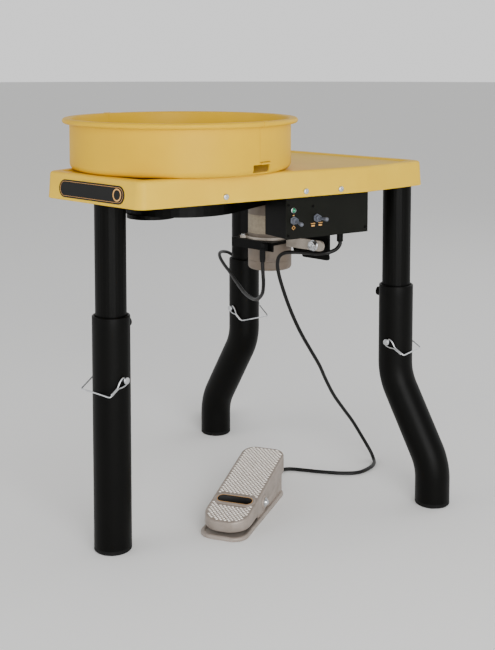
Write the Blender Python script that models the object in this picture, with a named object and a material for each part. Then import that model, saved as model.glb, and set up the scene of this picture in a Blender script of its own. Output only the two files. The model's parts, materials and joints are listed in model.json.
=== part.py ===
"""Electric pottery wheel on three telescoping legs, with a foot pedal.

Frame: metres, +Z up, floor at z = 0, origin under the middle of the wheel's
box.  +Y runs from the narrow front (single leg, nameplate) to the wide rear
(two splayed legs), and +X is the side with the control box.  A "setback" is
a distance measured along +Y from the axis of the front leg.
"""

import math

import bmesh
import bpy
from mathutils import Matrix, Vector

# ---------------------------------------------------------------- clearances
GAP = 0.0003            # between pieces that touch or slide on each other
RUNNING_GAP = 0.0012    # between the telescoping leg tubes

# --------------------------------------------------------------------- table
TABLE_TOP_Z = 0.726
SKIRT_HEIGHT = 0.052
TABLE_WALL = 0.004
SKIRT_FLARE = 0.003     # how far the skirt leans out from top to bottom
LIP_WIDTH = 0.024       # raised border round the sunken field
FIELD_SINK = 0.003
FRONT_HALF = 0.138
FRONT_OVERHANG = 0.046
SHOULDER_HALF = 0.266
SHOULDER_SETBACK = 0.456
REAR_HALF = 0.276
REAR_SETBACK = 0.634
REAR_EDGE_HALF = 0.235     # the rear edge bows out past the legs
REAR_EDGE_SETBACK = 0.645
TABLE_CORNER_R = 0.022
HOUSING_HOLE_R = 0.034

# ---------------------------------------------------------------------- legs
UPPER_TUBE_R = 0.03015
UPPER_TUBE_WALL = 0.0039
LOWER_TUBE_R = 0.0365
REAR_LEG_HALF = 0.226
REAR_LEG_SETBACK = 0.607
COLLAR_Z = 0.458
UPPER_TUBE_END_Z = 0.300
PIN_Z = 0.338
CLAMP_Z = 0.437
CLAMP_HOLE_R = 0.0045
BEND_START_Z = 0.290
BEND_ANGLE = math.radians(29.5)
BEND_R = 0.120
SPLAY = 0.099
FOOT_THICK = 0.008
FOOT_SPIGOT = 0.022
PIN_R = 0.00475
PIN_HEAD_R = 0.0065
WIRE_R = 0.0014
KEEPER_REACH = 0.0454    # crossbar of the keeper, from the pin's axis
KEEPER_START = 0.0090

# --------------------------------------------------------------------- frame
RAIL_WIDTH = 0.025
RAIL_HEIGHT = 0.040
RAIL_FRONT_X = 0.095
RAIL_FRONT_SETBACK = 0.046
RAIL_REAR_X = 0.222
RAIL_REAR_SETBACK = 0.574
RAIL_END_SETBACK = 0.592     # the rail ends in a saddle round the rear leg
BEARING_PLATE_THICK = 0.008
BEARING_PLATE_HALF = 0.060

# --------------------------------------------------------------------- wheel
WHEEL_SETBACK = 0.184
WHEEL_HEAD_R = 0.1524
WHEEL_HEAD_Z = 0.778
WHEEL_HEAD_THICK = 0.020
WHEEL_HUB_R = 0.028
WHEEL_HUB_DROP = 0.016
BAT_PIN_R = 0.0032
BAT_PIN_SPACING = 0.254
BAT_PIN_HEIGHT = 0.009
SHAFT_R = 0.0125
SHAFT_BOTTOM_Z = 0.646
HOUSING_R = 0.030
HOUSING_FLANGE_R = 0.048
HOUSING_TOP_Z = 0.735
HOUSING_BOTTOM_Z = 0.672
BEARING_R = 0.0235
BEARING_WIDTH = 0.012

# ---------------------------------------------------------------- splash pan
PAN_R = 0.220
PAN_RIM_R = 0.234
PAN_RIM_Z = 0.827
PAN_RIM_HEIGHT = 0.0105
PAN_WALL = 0.003
PAN_CORNER_R = 0.010
PAN_COLLAR_R = 0.042
PAN_COLLAR_Z = 0.748
PAN_SEAM_SHIFT = -0.005      # seam plane, from the wheel's axis
PAN_SLOT_HEIGHT = 0.016
PAN_SLOT_FRONT = 0.014
PAN_SLOT_REAR = 0.018

# --------------------------------------------------------------------- drive
PULLEY_R = 0.110
PULLEY_WIDTH = 0.016
PULLEY_Z = 0.656
MOTOR_PULLEY_R = 0.016
BELT_THICK = 0.0028
BELT_WIDTH = 0.012
GUARD_R = 0.120
GUARD_SMALL_R = 0.050
GUARD_BOTTOM_Z = 0.641
GUARD_HEIGHT = 0.030
GUARD_WALL = 0.002
GUARD_BOSS_R = 0.048
GUARD_BOSS_SETBACK = 0.104
GUARD_BOSS_DROP = 0.007
MOTOR_SETBACK = 0.450
MOTOR_R = 0.0475
MOTOR_BOTTOM_Z = 0.485
MOTOR_TOP_Z = 0.632
MOTOR_SHAFT_R = 0.006
SHELF_TOP_Z = 0.553
SHELF_THICK = 0.006
SHELF_HALF = 0.060
SHELF_LIP = 0.019
HANGER_THICK = 0.006
HANGER_REACH = 0.155
HANGER_BOTTOM_Z = 0.527
FLANGE_R = 0.0535
FLANGE_THICK = 0.0055
ARM_REACH = 0.161
ARM_Z = 0.552
ARM_HALF_HEIGHT = 0.011
ARM_THICK = 0.006
ARM_SETBACK = 0.439
BOLT_X = 0.136

# --------------------------------------------------------------- control box
BOX_START = 0.330            # along the side, from the front corner
BOX_LENGTH = 0.198
BOX_BOTTOM_Z = 0.591
BOX_TOP_Z = 0.6757
PANEL_TOP_Z = 0.673
BOX_DEPTH = 0.075
BOX_WALL = 0.0025
PANEL_INSET = 0.020
PANEL_THICK = 0.0022
PANEL_OVERLAP = 0.002
SWITCH_ALONG = 0.345
POWER_SWITCH_Z = 0.627
LAMP_Z = 0.647
DIRECTION_ALONG = 0.401
DIRECTION_Z = 0.628
LAMP_R = 0.0042
BUSHING_R = 0.0060
BUSHING_LENGTH = 0.010
LEVER_PIVOT = 0.006          # in front of the panel
LEVER_LENGTH = 0.021
LEVER_TILT = math.radians(12)

# ---------------------------------------------------------------- foot pedal
PEDAL_X = 0.0686
PEDAL_SETBACK = 0.2972
PEDAL_TURN = math.radians(113.57)
PEDAL_BASE_LENGTH = 0.278
PEDAL_BASE_SHIFT = -0.006
PEDAL_BASE_WIDTH = 0.099
PEDAL_BASE_THICK = 0.008
PEDAL_BASE_CORNER = 0.030
TREADLE_FRONT = -0.135
TREADLE_REAR = 0.140
TREADLE_WIDTH = 0.096
TREADLE_WALL = 0.003
TREADLE_FRONT_Z = 0.033
TREADLE_REAR_Z = 0.090
TREADLE_FRONT_CORNER = 0.041
TREADLE_REAR_CORNER = 0.028
PIVOT_X = -0.015
PIVOT_Z = 0.034
PIVOT_BOLT_R = 0.004
EAR_R = 0.015
EAR_GAP = 0.0012
BOSS_R = 0.0145            # round boss on the treadle's side, round the bolt
BOSS_HEIGHT = 0.0024
BADGE_X = -0.059
BADGE_LENGTH = 0.074
BADGE_WIDTH = 0.023
EAR_THICK = 0.006
PEDAL_BOX_START = 0.020
PEDAL_BOX_END = 0.126
PEDAL_BOX_HALF = 0.0435
PEDAL_BOX_CORNER = 0.012
PEDAL_BOX_TOP = 0.050
PEDAL_CORD_Z = 0.018
RELIEF_LENGTH = 0.0387

# --------------------------------------------------------------------- cords
CORD_R = 0.004
GLAND_ALONG = 0.478          # pedal cord's gland, in the control box's frame
GLAND_INWARDS = 0.045
GLAND_BOTTOM_Z = 0.5705
MAINS_X = 0.042
MAINS_SETBACK = 0.3805
MAINS_EXIT_Z = 0.512
HANK_X = -0.3955
HANK_SETBACK = 0.6815
HANK_TURN = math.radians(133.4)
HANK_LENGTH = 0.128
HANK_WIDTH = 0.056
HANK_HEIGHT = 0.030
PLUG_START = 0.005
PLUG_OFFSET = 0.020
PLUG_LENGTH = 0.040
PLUG_WIDTH = 0.027
PLUG_HEIGHT = 0.022

# ------------------------------------------------------------ derived places
BOX_FRONT = WHEEL_SETBACK - PAN_RIM_R
BOX_REAR = REAR_EDGE_SETBACK
FRONT_LEG_Y = -(BOX_FRONT + BOX_REAR) / 2
WHEEL_Y = FRONT_LEG_Y + WHEEL_SETBACK
MOTOR_Y = FRONT_LEG_Y + MOTOR_SETBACK
LOWER_TUBE_WALL = LOWER_TUBE_R - UPPER_TUBE_R - RUNNING_GAP
RAIL_TOP_Z = TABLE_TOP_Z - 0.010
RAIL_BOTTOM_Z = RAIL_TOP_Z - RAIL_HEIGHT
DECK_UNDER_Z = TABLE_TOP_Z - FIELD_SINK - TABLE_WALL
PAN_BASE_Z = TABLE_TOP_Z + GAP


def at(x, setback, z):
    """World place of a point given by its setback from the front leg."""
    return Vector((x, FRONT_LEG_Y + setback, z))


# ------------------------------------------------------------------ materials
def finish(name, colour, roughness, metallic=0.0):
    """A plain material: colour, roughness and metallic value."""
    made = bpy.data.materials.new(name)
    made.use_nodes = True
    shader = made.node_tree.nodes["Principled BSDF"]
    shader.inputs["Base Color"].default_value = (*colour, 1.0)
    shader.inputs["Roughness"].default_value = roughness
    shader.inputs["Metallic"].default_value = metallic
    made.diffuse_color = (*colour, 1.0)
    return made


# -------------------------------------------------------------- mesh building
def new_object(name, mesh, material=None):
    """Link a mesh as a new object and dress it."""
    thing = bpy.data.objects.new(name, mesh)
    bpy.context.scene.collection.objects.link(thing)
    if material is not None:
        mesh.materials.append(material)
    return thing


def from_bmesh(name, bm, material=None, smooth=True):
    """Close a bmesh into an object with its faces pointing out."""
    bmesh.ops.remove_doubles(bm, verts=bm.verts, dist=1e-6)
    bmesh.ops.recalc_face_normals(bm, faces=bm.faces)
    mesh = bpy.data.meshes.new(name)
    bm.to_mesh(mesh)
    bm.free()
    if smooth:
        mesh.shade_smooth()
        mesh.set_sharp_from_angle(angle=math.radians(35))
    return new_object(name, mesh, material)


def turned(name, profile, segments, material=None):
    """Spin a closed (radius, z) profile once round the Z axis."""
    bm = bmesh.new()
    verts = [bm.verts.new((r, 0.0, z)) for r, z in profile]
    ring = list(zip(verts, verts[1:] + verts[:1]))
    edges = [bm.edges.new(pair) for pair in ring
             if pair[0].co.x > 1e-7 or pair[1].co.x > 1e-7]
    bmesh.ops.spin(bm, geom=verts + edges, cent=(0, 0, 0), axis=(0, 0, 1),
                   angle=math.tau, steps=segments, use_merge=True)
    return from_bmesh(name, bm, material)


def prism(name, outline, low, high, material=None, smooth=True):
    """Raise a flat outline of (x, y) points from z = low to z = high."""
    bm = bmesh.new()
    face = bm.faces.new([bm.verts.new((x, y, low)) for x, y in outline])
    raised = bmesh.ops.extrude_face_region(bm, geom=[face])["geom"]
    moved = [g for g in raised if isinstance(g, bmesh.types.BMVert)]
    bmesh.ops.translate(bm, verts=moved, vec=(0, 0, high - low))
    return from_bmesh(name, bm, material, smooth)


def block(name, low, high, material=None):
    """A box between two corners."""
    (x0, y0, z0), (x1, y1, z1) = low, high
    outline = [(x0, y0), (x1, y0), (x1, y1), (x0, y1)]
    return prism(name, outline, z0, z1, material, smooth=False)


def loops_solid(name, loops, material=None):
    """Bridge closed loops of equal length in turn and cap both ends."""
    bm = bmesh.new()
    rows = [[bm.verts.new(p) for p in loop] for loop in loops]
    for row, following in zip(rows, rows[1:]):
        for i in range(len(row)):
            j = (i + 1) % len(row)
            bm.faces.new((row[i], row[j], following[j], following[i]))
    bm.faces.new(rows[0])
    bm.faces.new(rows[-1])
    return from_bmesh(name, bm, material)


def cylinder_at(name, centre, direction, radius, length, segments=24, material=None):
    """A round bar from centre along direction."""
    bar = turned(name, [(0, 0), (radius, 0), (radius, length), (0, length)],
                 segments, material)
    place(bar, centre, direction)
    return bar


def place(thing, centre, direction=(0, 0, 1)):
    """Stand an object's own Z axis along direction at centre."""
    turn = Vector((0, 0, 1)).rotation_difference(Vector(direction).normalized())
    matrix = Matrix.Translation(centre) @ turn.to_matrix().to_4x4()
    thing.data.transform(matrix)
    thing.data.update()


def as_cutter(thing):
    """Hide a guide solid so that it only serves a Boolean."""
    thing.hide_render = True
    thing.display_type = "WIRE"
    thing.hide_set(True)
    return thing


def combine(body, tool, operation):
    """Add a Boolean of one object with a hidden tool."""
    step = body.modifiers.new(operation.lower(), "BOOLEAN")
    step.operation = operation
    step.solver = "EXACT"
    step.object = as_cutter(tool)


def move_mesh(thing, matrix):
    """Carry an object's mesh to its place."""
    thing.data.transform(matrix)
    thing.data.update()


def set_origin(thing, point):
    """Put the object's origin on a joint's axis, its mesh staying put."""
    thing.data.transform(Matrix.Translation(-Vector(point)))
    thing.location = Vector(point)


# ------------------------------------------------------------------- outlines
def rounded_polygon(corners, radius, steps=6):
    """Outline of a convex polygon with each corner turned into an arc.

    radius is one value, or one for each corner.
    """
    radii = radius if isinstance(radius, (list, tuple)) else [radius] * len(corners)
    points = []
    count = len(corners)
    for i in range(count):
        here = Vector(corners[i])
        before = (Vector(corners[i - 1]) - here).normalized()
        after = (Vector(corners[(i + 1) % count]) - here).normalized()
        half = before.angle(after) / 2
        centre = here + (before + after).normalized() * (radii[i] / math.sin(half))
        start = here + before * (radii[i] / math.tan(half)) - centre
        end = here + after * (radii[i] / math.tan(half)) - centre
        sweep = start.angle_signed(end)
        for k in range(steps + 1):
            point = centre + Matrix.Rotation(-sweep * k / steps, 2) @ start
            points.append((point.x, point.y))
    return points


def inset_polygon(corners, distance):
    """Move every side of a convex, counter-clockwise polygon inwards."""
    moved = []
    count = len(corners)
    for i in range(count):
        here = Vector(corners[i])
        before = (here - Vector(corners[i - 1])).normalized()
        after = (Vector(corners[(i + 1) % count]) - here).normalized()
        left_before = Vector((-before.y, before.x))
        left_after = Vector((-after.y, after.x))
        bisector = (left_before + left_after).normalized()
        moved.append(tuple(here + bisector * distance / bisector.dot(left_after)))
    return moved


def belt_outline(small_r, large_r, steps=14):
    """Outline round the large pulley and the small one, joined by tangents."""
    span = MOTOR_Y - WHEEL_Y
    lean = math.asin((large_r - small_r) / span)
    points = []
    for radius, y, start, end in (
            (large_r, WHEEL_Y, math.pi - lean, math.tau + lean),
            (small_r, MOTOR_Y, lean, math.pi - lean)):
        count = steps * 2 if radius == large_r else steps
        for k in range(count + 1):
            angle = start + (end - start) * k / count
            points.append((radius * math.cos(angle), y + radius * math.sin(angle)))
    return points


def ring_points(centre, along, radius, count, sideways=Vector((0, 1, 0))):
    """A ring of points square to a path that lies across `sideways`."""
    across = along.cross(sideways).normalized()
    return [centre + across * (radius * math.cos(math.tau * k / count))
            + sideways * (radius * math.sin(math.tau * k / count))
            for k in range(count)]


# ---------------------------------------------------------------------- table
def table_corners():
    """The plan of the table at the bottom of its skirt, counter-clockwise."""
    return [(-FRONT_HALF, FRONT_LEG_Y - FRONT_OVERHANG),
            (FRONT_HALF, FRONT_LEG_Y - FRONT_OVERHANG),
            (SHOULDER_HALF, FRONT_LEG_Y + SHOULDER_SETBACK),
            (REAR_HALF, FRONT_LEG_Y + REAR_SETBACK),
            (REAR_EDGE_HALF, FRONT_LEG_Y + REAR_EDGE_SETBACK),
            (-REAR_EDGE_HALF, FRONT_LEG_Y + REAR_EDGE_SETBACK),
            (-REAR_HALF, FRONT_LEG_Y + REAR_SETBACK),
            (-SHOULDER_HALF, FRONT_LEG_Y + SHOULDER_SETBACK)]


def build_table(yellow):
    """Moulded table top: hollow below, with a flared skirt and a sunken field."""
    bottom_z = TABLE_TOP_Z - SKIRT_HEIGHT
    edge = 0.005
    sections = [  # (inset, z) from the inside of the skirt, over the top, to the field
        (TABLE_WALL + SKIRT_FLARE + edge, DECK_UNDER_Z),
        (TABLE_WALL + SKIRT_FLARE, DECK_UNDER_Z - edge),
        (TABLE_WALL, bottom_z),
        (0.0, bottom_z),
        (SKIRT_FLARE, TABLE_TOP_Z - edge),
        (SKIRT_FLARE + edge * 0.3, TABLE_TOP_Z - edge * 0.3),
        (SKIRT_FLARE + edge, TABLE_TOP_Z),
        (LIP_WIDTH, TABLE_TOP_Z),
        (LIP_WIDTH + 0.004, TABLE_TOP_Z - FIELD_SINK),
    ]
    loops = []
    for inset, z in sections:
        radius = max(TABLE_CORNER_R - inset, 0.006)
        outline = rounded_polygon(inset_polygon(table_corners(), inset), radius)
        loops.append([(x, y, z) for x, y in outline])
    top = loops_solid("table_top", loops, yellow)
    hole = cylinder_at("housing_hole", (0, WHEEL_Y, DECK_UNDER_Z - 0.01), (0, 0, 1),
                       HOUSING_HOLE_R, 0.03, 32)
    combine(top, hole, "DIFFERENCE")


# ---------------------------------------------------------------------- frame
def rail_centre_x(setback):
    """Distance of a side rail's middle from the wheel's centreline."""
    share = (setback - RAIL_FRONT_SETBACK) / (RAIL_REAR_SETBACK - RAIL_FRONT_SETBACK)
    return RAIL_FRONT_X + (RAIL_REAR_X - RAIL_FRONT_X) * share


def rail_inner_x(setback):
    """Inner face of a side rail, less the usual gap."""
    slope = (RAIL_REAR_X - RAIL_FRONT_X) / (RAIL_REAR_SETBACK - RAIL_FRONT_SETBACK)
    return rail_centre_x(setback) - RAIL_WIDTH / 2 * math.hypot(1, slope) - GAP


def cross_outline(front, rear):
    """Trapezium between the side rails from one setback to another."""
    return [(-rail_inner_x(front), FRONT_LEG_Y + front),
            (rail_inner_x(front), FRONT_LEG_Y + front),
            (rail_inner_x(rear), FRONT_LEG_Y + rear),
            (-rail_inner_x(rear), FRONT_LEG_Y + rear)]


def build_frame(black):
    """Two side rails with the bars that tie them to each other and the legs."""
    slope = (RAIL_REAR_X - RAIL_FRONT_X) / (RAIL_REAR_SETBACK - RAIL_FRONT_SETBACK)
    half = RAIL_WIDTH / 2 * math.hypot(1, slope)
    for side, name in ((-1, "frame_rail_left"), (1, "frame_rail_right")):
        rear_x = rail_centre_x(RAIL_END_SETBACK)
        ends = [(RAIL_FRONT_X - half, RAIL_FRONT_SETBACK),
                (RAIL_FRONT_X + half, RAIL_FRONT_SETBACK),
                (rear_x + half, RAIL_END_SETBACK),
                (rear_x - half, RAIL_END_SETBACK)]
        outline = [(side * x, FRONT_LEG_Y + s) for x, s in ends]
        rail = prism(name, outline, RAIL_BOTTOM_Z, RAIL_TOP_Z, black, smooth=False)
        combine(rail, leg_clearance(side * REAR_LEG_HALF, REAR_LEG_SETBACK),
                "DIFFERENCE")
    front_end = RAIL_FRONT_X + half
    front_reach = RAIL_FRONT_SETBACK - GAP
    front = block("frame_front_plate",
                  at(-front_end, UPPER_TUBE_R - 0.006, RAIL_BOTTOM_Z),
                  at(front_end, front_reach, RAIL_TOP_Z), black)
    combine(front, leg_clearance(0.0, 0.0), "DIFFERENCE")
    prism("frame_motor_crossbar",
          cross_outline(MOTOR_SETBACK + 0.002, MOTOR_SETBACK + 0.028),
          RAIL_BOTTOM_Z, RAIL_TOP_Z, black, smooth=False)
    rear_x = REAR_LEG_HALF - UPPER_TUBE_R + 0.006
    rear = block("frame_rear_crossbar",
                 at(-rear_x, REAR_LEG_SETBACK - RAIL_WIDTH / 2, RAIL_BOTTOM_Z),
                 at(rear_x, REAR_LEG_SETBACK + RAIL_WIDTH / 2, RAIL_TOP_Z), black)
    for side in (-1, 1):
        combine(rear, leg_clearance(side * REAR_LEG_HALF, REAR_LEG_SETBACK),
                "DIFFERENCE")
    plate = prism("bearing_plate",
                  cross_outline(WHEEL_SETBACK - BEARING_PLATE_HALF,
                                WHEEL_SETBACK + BEARING_PLATE_HALF),
                  RAIL_BOTTOM_Z + 0.002, RAIL_BOTTOM_Z + 0.002 + BEARING_PLATE_THICK,
                  black, smooth=False)
    hole = cylinder_at("plate_hole", (0, WHEEL_Y, RAIL_BOTTOM_Z - 0.01), (0, 0, 1),
                       HOUSING_R + GAP, 0.04, 32)
    combine(plate, hole, "DIFFERENCE")


def leg_clearance(x, setback):
    """Round space that a leg's tube takes through a frame member."""
    return cylinder_at("leg_clearance", at(x, setback, RAIL_BOTTOM_Z - 0.01),
                       (0, 0, 1), UPPER_TUBE_R + GAP, RAIL_HEIGHT + 0.02, 32)


# ----------------------------------------------------------------------- legs
# name, x, setback, splay direction, direction of the pin's head, of the bolt
LEGS = (
    ("front", 0.0, 0.0, 0, math.radians(1), math.radians(91)),
    ("rear_left", -REAR_LEG_HALF, REAR_LEG_SETBACK, -1,
     math.radians(-98.5), math.radians(171.5)),
    ("rear_right", REAR_LEG_HALF, REAR_LEG_SETBACK, 1,
     math.radians(-81.5), math.radians(188.5)),
)


def lower_leg_path(splay):
    """Centre line of a lower tube, from its collar down to its foot."""
    top = Vector((0, 0, COLLAR_Z))
    foot_z = FOOT_THICK + GAP
    if splay == 0:
        return [top, Vector((0, 0, foot_z))]
    side = Vector((splay, 0, 0))
    arc_out = BEND_R * (1 - math.cos(BEND_ANGLE))
    arc_down = BEND_R * math.sin(BEND_ANGLE)
    run_out = SPLAY - 2 * arc_out
    run_down = run_out / math.tan(BEND_ANGLE)
    steps = 5
    path = [top]
    for k in range(steps + 1):
        turn = BEND_ANGLE * k / steps
        path.append(Vector((0, 0, BEND_START_Z - BEND_R * math.sin(turn)))
                    + side * BEND_R * (1 - math.cos(turn)))
    second_start = BEND_START_Z - arc_down - run_down
    for k in range(steps + 1):
        turn = BEND_ANGLE * (1 - k / steps)
        path.append(Vector((0, 0, second_start - arc_down + BEND_R * math.sin(turn)))
                    + side * (SPLAY - BEND_R * (1 - math.cos(turn))))
    path.append(Vector((0, 0, foot_z)) + side * SPLAY)
    return path


def tube_along(name, path, outer, inner, count, material):
    """A hollow tube with open ends along a path in the XZ plane."""
    loops = {outer: [], inner: []}
    for i, centre in enumerate(path):
        before = path[max(i - 1, 0)]
        after = path[min(i + 1, len(path) - 1)]
        along = (after - centre).normalized() if i == 0 else (
            (centre - before).normalized() if i == len(path) - 1 else
            ((centre - before).normalized() + (after - centre).normalized()).normalized())
        for radius in loops:
            loops[radius].append(ring_points(centre, along, radius, count))
    bm = bmesh.new()
    chain = loops[outer] + loops[inner][::-1]
    rows = [[bm.verts.new(p) for p in loop] for loop in chain]
    for row, following in zip(rows, rows[1:] + rows[:1]):
        for i in range(count):
            j = (i + 1) % count
            bm.faces.new((row[i], row[j], following[j], following[i]))
    return from_bmesh(name, bm, material)


def build_leg(leg, black, steel, rubber):
    """One leg: fixed upper tube, sliding lower tube, foot, bolt, pin and keeper."""
    name, x, setback, splay, pin_turn, bolt_turn = leg
    base = at(x, setback, 0)
    to_leg = Matrix.Translation(base)
    inner_r = LOWER_TUBE_R - LOWER_TUBE_WALL

    upper_top = DECK_UNDER_Z - 0.0055     # below the rounding under the deck
    upper = turned(f"upper_leg_{name}",
                   [(UPPER_TUBE_R, UPPER_TUBE_END_Z), (UPPER_TUBE_R, upper_top),
                    (UPPER_TUBE_R - UPPER_TUBE_WALL, upper_top),
                    (UPPER_TUBE_R - UPPER_TUBE_WALL, UPPER_TUBE_END_Z)], 32, black)
    move_mesh(upper, to_leg)
    pin_way = Vector((math.cos(pin_turn), math.sin(pin_turn), 0))
    notch_half = PIN_R + GAP
    notch = block("pin_notch", (-0.05, -notch_half, UPPER_TUBE_END_Z - 0.01),
                  (0.05, notch_half, PIN_Z + notch_half))
    move_mesh(notch, to_leg @ Matrix.Rotation(pin_turn, 4, "Z"))
    combine(upper, notch, "DIFFERENCE")

    lower = tube_along(f"lower_leg_{name}", lower_leg_path(splay), LOWER_TUBE_R,
                       inner_r, 32, black)
    move_mesh(lower, to_leg)
    pin_hole = cylinder_at("pin_hole", base + Vector((0, 0, PIN_Z)) - pin_way * 0.06,
                           pin_way, PIN_R + GAP, 0.12, 16)
    combine(lower, pin_hole, "DIFFERENCE")
    bolt_way = Vector((math.cos(bolt_turn), math.sin(bolt_turn), 0))
    bolt_hole = cylinder_at("bolt_hole", base + Vector((0, 0, CLAMP_Z)), bolt_way,
                            CLAMP_HOLE_R, 0.06, 16)
    combine(lower, bolt_hole, "DIFFERENCE")

    foot_x = splay * SPLAY
    foot = turned(f"foot_{name}",
                  [(0, 0), (LOWER_TUBE_R - 0.002, 0), (LOWER_TUBE_R, 0.002),
                   (LOWER_TUBE_R, FOOT_THICK), (inner_r - GAP, FOOT_THICK),
                   (inner_r - GAP, FOOT_THICK + FOOT_SPIGOT),
                   (0, FOOT_THICK + FOOT_SPIGOT)], 32, rubber)
    move_mesh(foot, Matrix.Translation(base + Vector((foot_x, 0, 0))))

    tip = UPPER_TUBE_R + 0.0004
    surface = LOWER_TUBE_R + 0.0006
    bolt = turned(f"clamp_bolt_{name}",
                  [(0, tip), (CLAMP_HOLE_R - GAP, tip), (CLAMP_HOLE_R - GAP, surface),
                   (0.0095, surface), (0.0095, surface + 0.006),
                   (0.006, surface + 0.007), (0.006, surface + 0.012),
                   (0, surface + 0.012)], 12, steel)
    place(bolt, base + Vector((0, 0, CLAMP_Z)), bolt_way)

    build_pin(name, base, pin_way, steel)


def build_pin(name, base, pin_way, steel):
    """Lock pin through both tubes, and the wire keeper that snaps over it."""
    axis_at = base + Vector((0, 0, PIN_Z))
    head_at = LOWER_TUBE_R + 0.0010
    neck = head_at + 0.0042
    pin = turned(f"lock_pin_{name}",
                 [(0, -LOWER_TUBE_R - 0.010), (PIN_R, -LOWER_TUBE_R - 0.010),
                  (PIN_R, head_at), (PIN_R, neck), (PIN_HEAD_R, neck),
                  (PIN_HEAD_R, neck + 0.0035), (0, neck + 0.0035)], 16, steel)
    place(pin, axis_at, pin_way)
    set_origin(pin, axis_at)

    # The keeper in its own plane: X along the pin, Y is the way that it hangs.
    head_x = head_at + WIRE_R + 0.0004
    tip_x = -LOWER_TUBE_R - 0.0075
    points = [(head_x, KEEPER_START, 0), (head_x, KEEPER_REACH * 0.55, 0),
              (head_x, KEEPER_REACH * 0.92, 0), (head_x - 0.003, KEEPER_REACH, 0),
              (0, KEEPER_REACH, 0), (tip_x + 0.004, KEEPER_REACH, 0),
              (tip_x, KEEPER_REACH * 0.92, 0), (tip_x, KEEPER_REACH * 0.50, 0),
              (tip_x, PIN_R + WIRE_R + 0.0010, 0)]
    hang = KEEPER_HANG[name]
    side = Vector((0, 0, 1)).cross(pin_way)
    down = (side * math.cos(hang) + Vector((0, 0, 1)) * math.sin(hang)).normalized()
    matrix = Matrix((pin_way, down, pin_way.cross(down))).transposed().to_4x4()
    matrix.translation = axis_at
    wire_object(f"pin_keeper_{name}", [matrix @ Vector(point) for point in points],
                WIRE_R, 2, steel, origin=matrix @ Vector((head_x, 0, 0)))


# the way each keeper leans, as an angle about its pin
KEEPER_HANG = {"front": math.radians(-148), "rear_left": math.radians(-32),
               "rear_right": math.radians(-32)}


def wire_object(name, points, radius, resolution, material, origin=(0, 0, 0)):
    """A round wire or cord along points, with filled ends."""
    origin = Vector(origin)
    curve = bpy.data.curves.new(name, "CURVE")
    curve.dimensions = "3D"
    curve.bevel_depth = radius
    curve.bevel_resolution = resolution
    curve.use_fill_caps = True
    spline = curve.splines.new("POLY")
    spline.points.add(len(points) - 1)
    for target, point in zip(spline.points, points):
        target.co = (*(Vector(point) - origin), 1.0)
    curve.materials.append(material)
    thing = bpy.data.objects.new(name, curve)
    thing.location = origin
    bpy.context.scene.collection.objects.link(thing)
    return thing


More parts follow.
